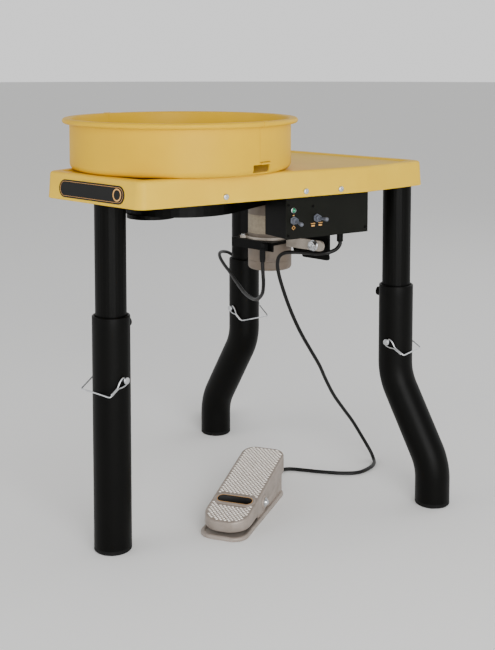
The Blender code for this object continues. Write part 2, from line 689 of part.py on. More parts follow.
# ---------------------------------------------------------------------- wheel
def build_wheel(aluminium, steel, black):
    """Wheel head on its shaft, in two bearings, with the pulley that turns it."""
    axis = Matrix.Translation((0, WHEEL_Y, 0))
    under = WHEEL_HEAD_Z - WHEEL_HEAD_THICK
    shaft_top = WHEEL_HEAD_Z - 0.010
    profile = [(0, WHEEL_HEAD_Z)]
    for radius in (0.032, 0.064, 0.096, 0.128):
        profile += [(radius - 0.0012, WHEEL_HEAD_Z), (radius, WHEEL_HEAD_Z - 0.0009),
                    (radius + 0.0012, WHEEL_HEAD_Z)]
    profile += [(WHEEL_HEAD_R - 0.002, WHEEL_HEAD_Z), (WHEEL_HEAD_R, WHEEL_HEAD_Z - 0.002),
                (WHEEL_HEAD_R, under), (WHEEL_HEAD_R - 0.010, under),
                (WHEEL_HEAD_R - 0.014, under + 0.008), (0.050, under + 0.008),
                (WHEEL_HUB_R, under), (WHEEL_HUB_R, under - WHEEL_HUB_DROP),
                (SHAFT_R + GAP, under - WHEEL_HUB_DROP),
                (SHAFT_R + GAP, shaft_top + GAP), (0, shaft_top + GAP)]
    head = turned("wheel_head", profile, 56, aluminium)
    move_mesh(head, axis)
    for side in (-1, 1):
        bat_pin = cylinder_at("bat_pin",
                              (side * BAT_PIN_SPACING / 2, WHEEL_Y, WHEEL_HEAD_Z - 0.004),
                              (0, 0, 1), BAT_PIN_R, BAT_PIN_HEIGHT + 0.004, 12)
        combine(head, bat_pin, "UNION")

    shaft = turned("wheel_shaft",
                   [(0, SHAFT_BOTTOM_Z), (SHAFT_R, SHAFT_BOTTOM_Z),
                    (SHAFT_R, shaft_top), (0, shaft_top)], 24, steel)
    move_mesh(shaft, axis)

    plate_top = RAIL_BOTTOM_Z + 0.002 + BEARING_PLATE_THICK + GAP
    housing = turned("bearing_housing",
                     [(HOUSING_R, HOUSING_BOTTOM_Z), (HOUSING_R, plate_top),
                      (HOUSING_FLANGE_R, plate_top), (HOUSING_FLANGE_R, plate_top + 0.008),
                      (HOUSING_R, plate_top + 0.010), (HOUSING_R, HOUSING_TOP_Z),
                      (BEARING_R + GAP, HOUSING_TOP_Z),
                      (BEARING_R + GAP, HOUSING_BOTTOM_Z)], 32, black)
    move_mesh(housing, axis)
    for name, low in (("bearing_lower", HOUSING_BOTTOM_Z + 0.002),
                      ("bearing_upper", HOUSING_TOP_Z - 0.002 - BEARING_WIDTH)):
        bearing = turned(name, [(BEARING_R, low), (BEARING_R, low + BEARING_WIDTH),
                                (SHAFT_R + GAP, low + BEARING_WIDTH),
                                (SHAFT_R + GAP, low)], 32, steel)
        move_mesh(bearing, axis)

    half = PULLEY_WIDTH / 2
    pulley = turned("driven_pulley",
                    [(SHAFT_R + GAP, PULLEY_Z - half), (SHAFT_R + GAP, PULLEY_Z + half),
                     (0.026, PULLEY_Z + half), (0.030, PULLEY_Z + 0.003),
                     (PULLEY_R - 0.012, PULLEY_Z + 0.003), (PULLEY_R - 0.008, PULLEY_Z + half),
                     (PULLEY_R, PULLEY_Z + half), (PULLEY_R, PULLEY_Z - half),
                     (PULLEY_R - 0.008, PULLEY_Z - half), (PULLEY_R - 0.012, PULLEY_Z - 0.003),
                     (0.030, PULLEY_Z - 0.003), (0.026, PULLEY_Z - half)], 48, aluminium)
    move_mesh(pulley, axis)


# ----------------------------------------------------------------- splash pan
def pan_profile():
    """Closed (radius, z) section of the splash pan, rolled rim included."""
    base, wall = PAN_BASE_Z, PAN_WALL
    corner = PAN_CORNER_R
    outer = [(PAN_COLLAR_R, base)]
    for k in range(4):
        turn = math.radians(30 * k)
        outer.append((PAN_R - corner + corner * math.sin(turn),
                      base + corner - corner * math.cos(turn)))
    rim_low = PAN_RIM_Z - PAN_RIM_HEIGHT
    rim = [(PAN_R, rim_low), (PAN_RIM_R - 0.003, rim_low), (PAN_RIM_R, rim_low + 0.003),
           (PAN_RIM_R, PAN_RIM_Z - 0.004), (PAN_RIM_R - 0.004, PAN_RIM_Z),
           (PAN_R - wall + 0.002, PAN_RIM_Z), (PAN_R - wall, PAN_RIM_Z - 0.003)]
    inner = []
    small = corner - wall
    for k in range(4):
        turn = math.radians(90 - 30 * k)
        inner.append((PAN_R - corner + small * math.sin(turn),
                      base + corner - small * math.cos(turn)))
    collar = [(PAN_COLLAR_R + wall, base + wall), (PAN_COLLAR_R + wall, PAN_COLLAR_Z),
              (PAN_COLLAR_R, PAN_COLLAR_Z)]
    return outer + rim + inner + collar


def build_pan(yellow):
    """The pan's two halves, cut at a seam across the table, with latch slots."""
    seam = WHEEL_Y + PAN_SEAM_SHIFT
    reach = PAN_RIM_R + 0.02
    for name, y0, y1 in (("splash_pan_front", seam - 0.5, seam - GAP),
                         ("splash_pan_rear", seam + GAP, seam + 0.5)):
        half = turned(name, pan_profile(), 72, yellow)
        move_mesh(half, Matrix.Translation((0, WHEEL_Y, 0)))
        keep = block("pan_half_space", (-reach, y0, PAN_BASE_Z - 0.01),
                     (reach, y1, PAN_RIM_Z + 0.01))
        combine(half, keep, "INTERSECT")
        for side in (-1, 1):
            x0, x1 = sorted((side * (PAN_R - 0.016), side * (PAN_R + 0.01)))
            slot = block("latch_slot", (x0, seam - PAN_SLOT_FRONT, PAN_BASE_Z - 0.01),
                         (x1, seam + PAN_SLOT_REAR, PAN_BASE_Z + PAN_SLOT_HEIGHT))
            combine(half, slot, "DIFFERENCE")
        set_origin(half, (0, WHEEL_Y, PAN_BASE_Z))


# ---------------------------------------------------------------------- drive
def build_drive(black, cast, dark_steel, steel, belt_black, aluminium):
    """Motor on its hanging shelf, the belt and the guard below the pulleys."""
    low, high = PULLEY_Z - BELT_WIDTH / 2, PULLEY_Z + BELT_WIDTH / 2
    inner = belt_outline(MOTOR_PULLEY_R + GAP, PULLEY_R + GAP)
    outer = belt_outline(MOTOR_PULLEY_R + GAP + BELT_THICK, PULLEY_R + GAP + BELT_THICK)
    bm = bmesh.new()
    chain = [(outer, low), (outer, high), (inner, high), (inner, low)]
    rows = [[bm.verts.new((x, y, z)) for x, y in outline] for outline, z in chain]
    for row, following in zip(rows, rows[1:] + rows[:1]):
        for i in range(len(row)):
            j = (i + 1) % len(row)
            bm.faces.new((row[i], row[j], following[j], following[i]))
    from_bmesh("drive_belt", bm, belt_black)

    guard_out = belt_outline(GUARD_SMALL_R, GUARD_R)
    guard_in = belt_outline(GUARD_SMALL_R - GUARD_WALL, GUARD_R - GUARD_WALL)
    top = GUARD_BOTTOM_Z + GUARD_HEIGHT
    guard = loops_solid("belt_guard", [
        [(x, y, GUARD_BOTTOM_Z) for x, y in guard_out],
        [(x, y, top) for x, y in guard_out],
        [(x, y, top) for x, y in guard_in],
        [(x, y, GUARD_BOTTOM_Z + GUARD_WALL) for x, y in guard_in]], black)
    boss = cylinder_at("guard_boss",
                       at(0, GUARD_BOSS_SETBACK, GUARD_BOTTOM_Z - GUARD_BOSS_DROP),
                       (0, 0, 1), GUARD_BOSS_R, GUARD_BOSS_DROP + GUARD_WALL / 2, 32)
    combine(guard, boss, "UNION")
    shaft_hole = cylinder_at("guard_shaft_hole", (0, MOTOR_Y, GUARD_BOTTOM_Z - 0.01),
                             (0, 0, 1), MOTOR_PULLEY_R + 0.004, 0.03, 24)
    combine(guard, shaft_hole, "DIFFERENCE")

    axis = Matrix.Translation((0, MOTOR_Y, 0))
    bell = MOTOR_TOP_Z - 0.010
    motor = turned("motor_body",
                   [(0, MOTOR_BOTTOM_Z), (MOTOR_R - 0.006, MOTOR_BOTTOM_Z),
                    (MOTOR_R - 0.0015, MOTOR_BOTTOM_Z + 0.002), (MOTOR_R, MOTOR_BOTTOM_Z + 0.007),
                    (MOTOR_R, bell), (MOTOR_R - 0.006, MOTOR_TOP_Z),
                    (MOTOR_SHAFT_R + GAP, MOTOR_TOP_Z), (MOTOR_SHAFT_R + GAP, MOTOR_TOP_Z - 0.030),
                    (0, MOTOR_TOP_Z - 0.030)], 40, dark_steel)
    move_mesh(motor, axis)
    half = PULLEY_WIDTH / 2
    pulley = turned("motor_pulley",
                    [(0, MOTOR_TOP_Z - 0.030 + GAP), (MOTOR_SHAFT_R, MOTOR_TOP_Z - 0.030 + GAP),
                     (MOTOR_SHAFT_R, PULLEY_Z - half), (MOTOR_PULLEY_R, PULLEY_Z - half),
                     (MOTOR_PULLEY_R, PULLEY_Z + half), (0, PULLEY_Z + half)], 24, steel)
    move_mesh(pulley, axis)

    ring_low = SHELF_TOP_Z + GAP
    flange = turned("motor_flange",
                    [(0, ring_low), (FLANGE_R, ring_low), (FLANGE_R, ring_low + FLANGE_THICK),
                     (0, ring_low + FLANGE_THICK)], 40, cast)
    move_mesh(flange, axis)
    for degrees in (-128, 52):
        turn = math.radians(degrees)
        ear = cylinder_at("flange_ear",
                          (0.057 * math.cos(turn), MOTOR_Y + 0.057 * math.sin(turn), ring_low),
                          (0, 0, 1), 0.009, FLANGE_THICK, 16)
        combine(flange, ear, "UNION")
    combine(flange, motor_clearance(), "DIFFERENCE")

    build_motor_shelf(black)
    arm = prism("belt_tension_arm",
                rounded_polygon([(SHELF_HALF + GAP, ARM_Z - ARM_HALF_HEIGHT),
                                 (ARM_REACH, ARM_Z - ARM_HALF_HEIGHT),
                                 (ARM_REACH, ARM_Z + ARM_HALF_HEIGHT),
                                 (SHELF_HALF + GAP, ARM_Z + ARM_HALF_HEIGHT)],
                                [0.001, ARM_HALF_HEIGHT - 0.001,
                                 ARM_HALF_HEIGHT - 0.001, 0.001], 5),
                0, ARM_THICK, cast)
    stand = Matrix.Translation((0, FRONT_LEG_Y + ARM_SETBACK + ARM_THICK / 2, 0))
    move_mesh(arm, stand @ Matrix.Rotation(math.radians(90), 4, "X"))
    hole = cylinder_at("arm_hole", at(BOLT_X, ARM_SETBACK - 0.02, ARM_Z), (0, 1, 0),
                       0.0045, 0.04, 16)
    combine(arm, hole, "DIFFERENCE")
    face = ARM_SETBACK - ARM_THICK / 2 - GAP
    bolt = turned("belt_tension_bolt",
                  [(0, -0.008), (0.0105, -0.008), (0.0105, 0), (0.0042, 0),
                   (0.0042, 0.045), (0, 0.045)], 6, steel)
    place(bolt, at(BOLT_X, face, ARM_Z), (0, 1, 0))


def motor_clearance():
    """Round space that the motor takes through its shelf and flange."""
    return cylinder_at("motor_clearance", (0, MOTOR_Y, 0.48), (0, 0, 1),
                       MOTOR_R + GAP, 0.12, 40)


def build_motor_shelf(black):
    """Steel shelf that hangs the motor below the frame: deck, lip and hangers."""
    front, rear = MOTOR_SETBACK - 0.058, MOTOR_SETBACK + 0.058
    hanger_front = MOTOR_SETBACK + 0.012
    shelf = block("motor_shelf", at(-SHELF_HALF, front, SHELF_TOP_Z - SHELF_THICK),
                  at(SHELF_HALF, rear, SHELF_TOP_Z), black)
    lip = block("shelf_lip", at(-SHELF_HALF, front, SHELF_TOP_Z - SHELF_LIP),
                at(SHELF_HALF, front + 0.004, SHELF_TOP_Z - 0.001))
    combine(shelf, lip, "UNION")
    for side in (-1, 1):
        reach = HANGER_REACH if side == 1 else SHELF_HALF + 0.040
        corners = [(SHELF_HALF - 0.003, HANGER_BOTTOM_Z), (reach, HANGER_BOTTOM_Z),
                   (reach, RAIL_BOTTOM_Z - GAP), (SHELF_HALF - 0.003, RAIL_BOTTOM_Z - GAP)]
        plate = prism("shelf_hanger", rounded_polygon(corners, 0.007, 4), 0, HANGER_THICK)
        turn = Matrix.Rotation(math.radians(90), 4, "X")
        shift = Matrix.Translation((0, FRONT_LEG_Y + hanger_front + HANGER_THICK, 0))
        mirror = Matrix.Scale(side, 4, (1, 0, 0))
        move_mesh(plate, mirror @ shift @ turn)
        if side == -1:
            plate.data.flip_normals()
        combine(shelf, plate, "UNION")
    combine(shelf, motor_clearance(), "DIFFERENCE")
    bolt_hole = cylinder_at("hanger_bolt_hole", at(BOLT_X, hanger_front - 0.01, ARM_Z),
                            (0, 1, 0), 0.0048, 0.03, 16)
    combine(shelf, bolt_hole, "DIFFERENCE")


# ---------------------------------------------------------------- control box
def side_frame():
    """Matrix at the right front corner: X along the side, Y inwards, Z up."""
    start = Vector((FRONT_HALF, FRONT_LEG_Y - FRONT_OVERHANG))
    end = Vector((SHOULDER_HALF, FRONT_LEG_Y + SHOULDER_SETBACK))
    along = (end - start).normalized()
    inwards = Vector((-along.y, along.x))
    matrix = Matrix.Identity(4)
    matrix.col[0] = (*along, 0, 0)
    matrix.col[1] = (*inwards, 0, 0)
    matrix.col[3] = (*start, 0, 1)
    return matrix


def build_control_box(black, panel_black, green, steel, board_green, grey):
    """Box under the table's side, with its panel, lamp and two toggles."""
    side = side_frame()
    x0, x1 = BOX_START, BOX_START + BOX_LENGTH
    y0 = PANEL_INSET + PANEL_THICK + GAP
    y1 = y0 + BOX_DEPTH
    shell = block("control_box", (x0, y0, BOX_BOTTOM_Z), (x1, y1, BOX_TOP_Z), black)
    hollow = block("box_hollow", (x0 + BOX_WALL, y0 - 0.01, BOX_BOTTOM_Z + BOX_WALL),
                   (x1 - BOX_WALL, y1 - BOX_WALL, BOX_TOP_Z - BOX_WALL))
    combine(shell, hollow, "DIFFERENCE")
    panel = block("control_panel", (x0 - PANEL_OVERLAP, PANEL_INSET, BOX_BOTTOM_Z - 0.001),
                  (x1 + PANEL_OVERLAP, PANEL_INSET + PANEL_THICK, PANEL_TOP_Z), panel_black)
    front = Vector((0, -1, 0))
    lamp = turned("power_lamp",
                  [(0, -0.012), (LAMP_R, -0.012), (LAMP_R, 0.0015), (LAMP_R * 0.8, 0.0038),
                   (LAMP_R * 0.4, 0.0050), (0, 0.0054)], 16, green)
    lamp_at = Vector((SWITCH_ALONG, PANEL_INSET, LAMP_Z))
    place(lamp, lamp_at, front)
    hole = cylinder_at("lamp_hole", lamp_at + Vector((0, 0.01, 0)), front,
                       LAMP_R + GAP, 0.02, 16)
    move_mesh(hole, side)
    combine(panel, hole, "DIFFERENCE")
    gland = cylinder_at("cord_gland", Vector((GLAND_ALONG, GLAND_INWARDS, GLAND_BOTTOM_Z)),
                        (0, 0, 1), 0.0065,
                        BOX_BOTTOM_Z - GLAND_BOTTOM_Z + BOX_WALL / 2, 16)
    combine(shell, gland, "UNION")
    pieces = [shell, hollow, gland, panel, lamp]
    for name, along, z in (("power_switch", SWITCH_ALONG, POWER_SWITCH_Z),
                           ("direction_switch", DIRECTION_ALONG, DIRECTION_Z)):
        centre = Vector((along, PANEL_INSET, z))
        body = turned(f"{name}_body",
                      [(0, -0.026), (0.0065, -0.026), (0.0065, -PANEL_THICK - GAP),
                       (BUSHING_R, -PANEL_THICK - GAP), (BUSHING_R, BUSHING_LENGTH),
                       (BUSHING_R - 0.0017, BUSHING_LENGTH), (BUSHING_R - 0.0017, 0.002),
                       (0, 0.002)], 16, steel)
        place(body, centre, front)
        hole = cylinder_at("switch_hole", centre + Vector((0, 0.01, 0)), front,
                           BUSHING_R + GAP, 0.02, 16)
        move_mesh(hole, side)
        combine(panel, hole, "DIFFERENCE")
        lever_out = BUSHING_LENGTH - LEVER_PIVOT + 0.0007
        lever = turned(f"{name}_lever",
                       [(0, lever_out), (0.0026, lever_out), (0.0030, lever_out + 0.006),
                        (0.0042, lever_out + LEVER_LENGTH - 0.004),
                        (0.0034, lever_out + LEVER_LENGTH - 0.001),
                        (0, lever_out + LEVER_LENGTH)], 12, grey)
        pivot = centre + front * LEVER_PIVOT
        if name == "power_switch":
            way = Vector((0, -math.cos(LEVER_TILT), -math.sin(LEVER_TILT)))
        else:
            way = Vector((math.sin(LEVER_TILT), -math.cos(LEVER_TILT), 0))
        place(lever, pivot, way)
        pieces += [body, lever]
        lever["pivot"] = tuple(side @ pivot)
    board = block("speed_controller_board", (x0 + 0.012, y0 + 0.040, BOX_BOTTOM_Z + 0.012),
                  (x1 - 0.012, y0 + 0.0416, BOX_TOP_Z - 0.008), board_green)
    for start, end, depth in ((0.090, 0.130, 0.020), (0.145, 0.175, 0.012)):
        part = block("board_part", (x0 + start, y0 + 0.041, BOX_BOTTOM_Z + 0.022),
                     (x0 + end, y0 + 0.041 + depth, BOX_BOTTOM_Z + 0.055))
        move_mesh(part, side)
        combine(board, part, "UNION")
    pieces.append(board)
    for piece in pieces:
        move_mesh(piece, side)
        if "pivot" in piece:
            set_origin(piece, piece["pivot"])
            del piece["pivot"]


def build_nameplate(black):
    """Blank oval plate on the front skirt, leaning with it."""
    length, height, thick = 0.190, 0.034, 0.0016
    r = height / 2 - 0.0005
    outline = rounded_polygon([(-length / 2, -height / 2), (length / 2, -height / 2),
                               (length / 2, height / 2), (-length / 2, height / 2)], r, 6)
    plate = prism("nameplate", outline, GAP, thick, black)
    lean = math.atan2(SKIRT_FLARE, SKIRT_HEIGHT - 0.005)
    middle = TABLE_TOP_Z - SKIRT_HEIGHT / 2 - 0.003
    inset = SKIRT_FLARE * (middle - TABLE_TOP_Z + SKIRT_HEIGHT) / (SKIRT_HEIGHT - 0.005)
    turn = Matrix.Rotation(math.radians(90) - lean, 4, "X")
    move_mesh(plate, Matrix.Translation(at(0, inset - FRONT_OVERHANG, middle)) @ turn)


# ---------------------------------------------------------------------- pedal
def pedal_frame():
    """Matrix on the floor under the pedal: X towards its high end."""
    return (Matrix.Translation(at(PEDAL_X, PEDAL_SETBACK, 0))
            @ Matrix.Rotation(PEDAL_TURN, 4, "Z"))


def rectangle(x0, x1, half):
    """Corners of a rectangle that is even about the X axis."""
    return [(x0, -half), (x1, -half), (x1, half), (x0, half)]


def build_pedal(cast, steel, badge_black, rubber):
    """Cast pedal: base with ears and a wiring housing, treadle, bolt, badge."""
    frame = pedal_frame()
    half_length = PEDAL_BASE_LENGTH / 2
    base = prism("pedal_base",
                 rounded_polygon(rectangle(PEDAL_BASE_SHIFT - half_length,
                                           PEDAL_BASE_SHIFT + half_length,
                                           PEDAL_BASE_WIDTH / 2),
                                 PEDAL_BASE_CORNER, 6), 0, PEDAL_BASE_THICK, cast)
    extras = []
    ear_in = TREADLE_WIDTH / 2 - TREADLE_WALL - EAR_GAP - EAR_THICK
    for side in (-1, 1):
        y0, y1 = sorted((side * ear_in, side * (ear_in + EAR_THICK)))
        foot_z = PEDAL_BASE_THICK - 0.002
        outline = [(PIVOT_X - EAR_R, foot_z)]
        for k in range(13):
            turn = math.pi * k / 12
            outline.append((PIVOT_X - EAR_R * math.cos(turn),
                            PIVOT_Z + EAR_R * math.sin(turn)))
        outline.append((PIVOT_X + EAR_R, foot_z))
        ear = prism("pivot_ear", outline[::-1], -y1, -y0)
        move_mesh(ear, Matrix.Rotation(math.radians(90), 4, "X"))
        extras.append((ear, "UNION"))
    box = prism("wiring_housing",
                rounded_polygon(rectangle(PEDAL_BOX_START, PEDAL_BOX_END, PEDAL_BOX_HALF),
                                PEDAL_BOX_CORNER, 5), PEDAL_BASE_THICK - 0.002, PEDAL_BOX_TOP)
    extras.append((box, "UNION"))
    extras.append((pivot_hole(), "DIFFERENCE"))
    for tool, operation in extras:
        move_mesh(tool, frame)
        combine(base, tool, operation)
    move_mesh(base, frame)

    treadle = build_treadle(cast)
    for start in (-TREADLE_WIDTH / 2 - BOSS_HEIGHT, TREADLE_WIDTH / 2 - 0.0015):
        boss = cylinder_at("pivot_boss", (PIVOT_X, start, PIVOT_Z), (0, 1, 0), BOSS_R,
                           BOSS_HEIGHT + 0.0015, 24)
        move_mesh(boss, frame)
        combine(treadle, boss, "UNION")
    hole = pivot_hole()
    move_mesh(hole, frame)
    combine(treadle, hole, "DIFFERENCE")
    move_mesh(treadle, frame)
    set_origin(treadle, frame @ Vector((PIVOT_X, 0, PIVOT_Z)))

    head = TREADLE_WIDTH / 2 + BOSS_HEIGHT + GAP
    bolt = turned("pedal_pivot_bolt",
                  [(0, -head - 0.004), (0.0065, -head - 0.004), (0.0065, -head),
                   (PIVOT_BOLT_R, -head), (PIVOT_BOLT_R, head), (0.0065, head),
                   (0.0065, head + 0.004), (0, head + 0.004)], 16, steel)
    place(bolt, Vector((PIVOT_X, 0, PIVOT_Z)), (0, 1, 0))
    move_mesh(bolt, frame)

    badge = prism("pedal_badge",
                  rounded_polygon([(-BADGE_WIDTH / 2, -BADGE_LENGTH / 2),
                                   (BADGE_WIDTH / 2, -BADGE_LENGTH / 2),
                                   (BADGE_WIDTH / 2, BADGE_LENGTH / 2),
                                   (-BADGE_WIDTH / 2, BADGE_LENGTH / 2)],
                                  BADGE_WIDTH / 2 - 0.0005, 5), GAP, 0.0014, badge_black)
    slope = math.atan2(TREADLE_REAR_Z - TREADLE_FRONT_Z, TREADLE_REAR - TREADLE_FRONT)
    badge_at = Vector((BADGE_X, 0, treadle_top(BADGE_X)))
    move_mesh(badge, frame @ Matrix.Translation(badge_at)
              @ Matrix.Rotation(-slope, 4, "Y"))
    set_origin(badge, frame @ Vector((PIVOT_X, 0, PIVOT_Z)))

    relief = turned("pedal_strain_relief",
                    [(0, 0), (0.0068, 0), (0.0068, 0.004), (0.0060, 0.006),
                     (0.0048, RELIEF_LENGTH), (0, RELIEF_LENGTH)], 16, rubber)
    place(relief, Vector((PEDAL_BOX_END + GAP, 0, PEDAL_CORD_Z)), (1, 0, 0))
    move_mesh(relief, frame)



def treadle_top(x):
    """Height of the treadle's sloping top."""
    share = (x - TREADLE_FRONT) / (TREADLE_REAR - TREADLE_FRONT)
    return TREADLE_FRONT_Z + (TREADLE_REAR_Z - TREADLE_FRONT_Z) * share


def treadle_skirt(x):
    """Height of the skirt's lower edge, which dips to carry the pivot."""
    rest = ((TREADLE_FRONT, 0.0130), (-0.050, 0.0200), (PIVOT_X, 0.0215),
            (0.020, 0.0300), (TREADLE_REAR, 0.0550))
    for (x0, z0), (x1, z1) in zip(rest, rest[1:]):
        if x <= x1:
            return z0 + (z1 - z0) * max(x - x0, 0) / (x1 - x0)
    return rest[-1][1]


def build_treadle(cast):
    """Hollow treadle: flat sloping top and a skirt all round."""
    def outline(inset):
        corners = rectangle(TREADLE_FRONT + inset, TREADLE_REAR - inset,
                            TREADLE_WIDTH / 2 - inset)
        radii = [TREADLE_FRONT_CORNER - inset, TREADLE_REAR_CORNER - inset,
                 TREADLE_REAR_CORNER - inset, TREADLE_FRONT_CORNER - inset]
        points = rounded_polygon(corners, radii, 6)
        stops = [-0.050, PIVOT_X, 0.020]
        y = TREADLE_WIDTH / 2 - inset
        return (points[:7] + [(x, -y) for x in stops] + points[7:21]
                + [(x, y) for x in reversed(stops)] + points[21:])
    outer, inner = outline(0.0), outline(TREADLE_WALL)
    bevel = outline(0.0012)
    thick = 0.004
    return loops_solid("pedal_treadle", [
        [(x, y, treadle_top(x)) for x, y in bevel],
        [(x, y, treadle_top(x) - 0.0012) for x, y in outer],
        [(x, y, treadle_skirt(x)) for x, y in outer],
        [(x, y, treadle_skirt(x)) for x, y in inner],
        [(x, y, treadle_top(x) - thick) for x, y in inner]], cast)


def pivot_hole():
    """Hole for the pedal's pivot bolt, in the pedal's own frame."""
    return cylinder_at("pivot_hole", (PIVOT_X, -0.07, PIVOT_Z), (0, 1, 0),
                       PIVOT_BOLT_R + GAP, 0.14, 16)


# ---------------------------------------------------------------------- cords
def smooth_route(points, spacing):
    """Points read at even spacing from a smooth curve through the given ones."""
    guide = [Vector(p) for p in points]
    guide = [guide[0] * 2 - guide[1]] + guide + [guide[-1] * 2 - guide[-2]]
    fine = []
    for a, b, c, d in zip(guide, guide[1:], guide[2:], guide[3:]):
        for k in range(16):
            t = k / 16
            fine.append(0.5 * (2 * b + (c - a) * t + (2 * a - 5 * b + 4 * c - d) * t * t
                               + (3 * b - a - 3 * c + d) * t ** 3))
    fine.append(guide[-2])
    lengths = [0.0]
    for before, after in zip(fine, fine[1:]):
        lengths.append(lengths[-1] + (after - before).length)
    count = max(2, round(lengths[-1] / spacing))
    even, i = [], 0
    for k in range(count + 1):
        target = lengths[-1] * k / count
        while i < len(lengths) - 2 and lengths[i + 1] < target:
            i += 1
        share = (target - lengths[i]) / max(lengths[i + 1] - lengths[i], 1e-9)
        even.append(fine[i].lerp(fine[i + 1], min(max(share, 0), 1)))
    return even


# The pedal's cord, from under the control box to the back of the pedal.
PEDAL_CORD_ROUTE = (
    (0.2125, 0.4283, 0.5702),
    (0.2125, 0.4283, 0.5640),
    (0.2095, 0.4178, 0.5540),
    (0.1980, 0.4008, 0.5480),
    (0.1750, 0.3927, 0.5455),
    (0.1480, 0.3912, 0.5440),
    (0.1195, 0.3912, 0.5412),
    (0.0980, 0.3887, 0.5375),
    (0.0835, 0.3862, 0.5270),
    (0.0785, 0.3872, 0.5090),
    (0.0780, 0.3935, 0.4850),
    (0.0779, 0.4066, 0.4533),
    (0.0779, 0.4236, 0.4182),
    (0.0776, 0.4443, 0.3820),
    (0.0760, 0.4706, 0.3440),
    (0.0743, 0.5019, 0.3044),
    (0.0712, 0.5360, 0.2631),
    (0.0639, 0.5688, 0.2205),
    (0.0582, 0.6043, 0.1767),
    (0.0561, 0.6408, 0.1372),
    (0.0575, 0.6766, 0.0969),
    (0.0641, 0.7069, 0.0512),
    (0.0780, 0.7181, 0.0203),
    (0.0925, 0.7120, 0.0060),
    (0.1075, 0.6930, 0.0043),
    (0.1159, 0.6646, 0.0043),
    (0.1146, 0.6257, 0.0043),
    (0.0901, 0.5960, 0.0043),
    (0.0509, 0.5699, 0.0043),
    (0.0200, 0.5535, 0.0043),
    (-0.0080, 0.5380, 0.0043),
    (-0.0181, 0.5280, 0.0043),
    (-0.0224, 0.5144, 0.0043),
    (-0.0200, 0.5004, 0.0045),
    (-0.0120, 0.4821, 0.0080),
    (-0.0050, 0.4660, 0.0145),
    (0.0001, 0.4542, 0.0180),
    (0.0025, 0.4487, 0.0180),
)

# The mains lead, from under the motor's shelf, round the rear left leg and down.
MAINS_CORD_ROUTE = (
    (0.0420, 0.3805, 0.5115),
    (0.0425, 0.3805, 0.5000),
    (0.0425, 0.3818, 0.4830),
    (0.0400, 0.3858, 0.4630),
    (0.0230, 0.3997, 0.4370),
    (-0.0160, 0.4218, 0.4160),
    (-0.0730, 0.4507, 0.4150),
    (-0.1300, 0.4818, 0.4280),
    (-0.1740, 0.5048, 0.4420),
    (-0.2130, 0.5238, 0.4540),
    (-0.2420, 0.5397, 0.4650),
    (-0.2600, 0.5568, 0.4710),
    (-0.2730, 0.5817, 0.4700),
    (-0.2770, 0.6088, 0.4620),
    (-0.2760, 0.6368, 0.4400),
    (-0.2780, 0.6527, 0.4000),
    (-0.2830, 0.6578, 0.3300),
    (-0.2920, 0.6587, 0.2500),
    (-0.3040, 0.6587, 0.1700),
    (-0.3180, 0.6587, 0.1000),
    (-0.3290, 0.6577, 0.0650),
    (-0.3460, 0.6640, 0.0372),
)


def build_cords(cord_black):
    """Both cords, the mains lead's hank and the plug that lies on it."""
    wire_object("pedal_cord", route(PEDAL_CORD_ROUTE, 0.020), CORD_R, 2, cord_black)
    wire_object("mains_cord", route(MAINS_CORD_ROUTE, 0.018), CORD_R, 2, cord_black)

    gland = turned("mains_gland", [(0, 0), (0.0050, 0), (0.0062, 0.006), (0.0062, 0.028),
                                   (0, 0.028)], 16, cord_black)
    move_mesh(gland, Matrix.Translation(at(MAINS_X, MAINS_SETBACK, MAINS_EXIT_Z)))
    shelf_front = MOTOR_SETBACK - 0.058 - GAP
    clamp = block("gland_clamp", at(MAINS_X - 0.005, MAINS_SETBACK, MAINS_EXIT_Z + 0.0235),
                  at(MAINS_X + 0.005, shelf_front, MAINS_EXIT_Z + 0.039))
    combine(gland, clamp, "UNION")

    lie = (Matrix.Translation(at(HANK_X, HANK_SETBACK, 0))
           @ Matrix.Rotation(HANK_TURN, 4, "Z"))
    half = HANK_LENGTH / 2
    hank = prism("mains_hank",
                 rounded_polygon(rectangle(-half, half, HANK_WIDTH / 2),
                                 HANK_WIDTH / 2 - 0.0005, 8), 0, HANK_HEIGHT, cord_black)
    move_mesh(hank, lie)

    rest = lie @ Matrix.Translation((0, -PLUG_OFFSET, HANK_HEIGHT + GAP))
    start = PLUG_START
    plug = prism("mains_plug",
                 rounded_polygon([(start, -PLUG_WIDTH / 2 + 0.006),
                                  (start + PLUG_LENGTH, -PLUG_WIDTH / 2),
                                  (start + PLUG_LENGTH, PLUG_WIDTH / 2),
                                  (start, PLUG_WIDTH / 2 - 0.006)], 0.004, 4),
                 0, PLUG_HEIGHT, cord_black)
    face = start + PLUG_LENGTH
    for y, z, wide, high in ((-0.0065, 0.013, 0.0015, 0.0064),
                             (0.0065, 0.013, 0.0015, 0.0064),
                             (0.0, 0.0055, 0.0046, 0.0046)):
        blade = block("plug_blade", (face - 0.003, y - wide / 2, z - high / 2),
                      (face + 0.017, y + wide / 2, z + high / 2))
        move_mesh(blade, rest)
        combine(plug, blade, "UNION")
    move_mesh(plug, rest)


def route(points, spacing):
    """Smooth curve through (x, setback, z) points, straight at its two ends."""
    placed = [at(*point) for point in points]
    curve = smooth_route(placed[1:-1], spacing)
    for point in curve:
        point.z = max(point.z, CORD_R + GAP)
    return placed[:1] + curve + placed[-1:]


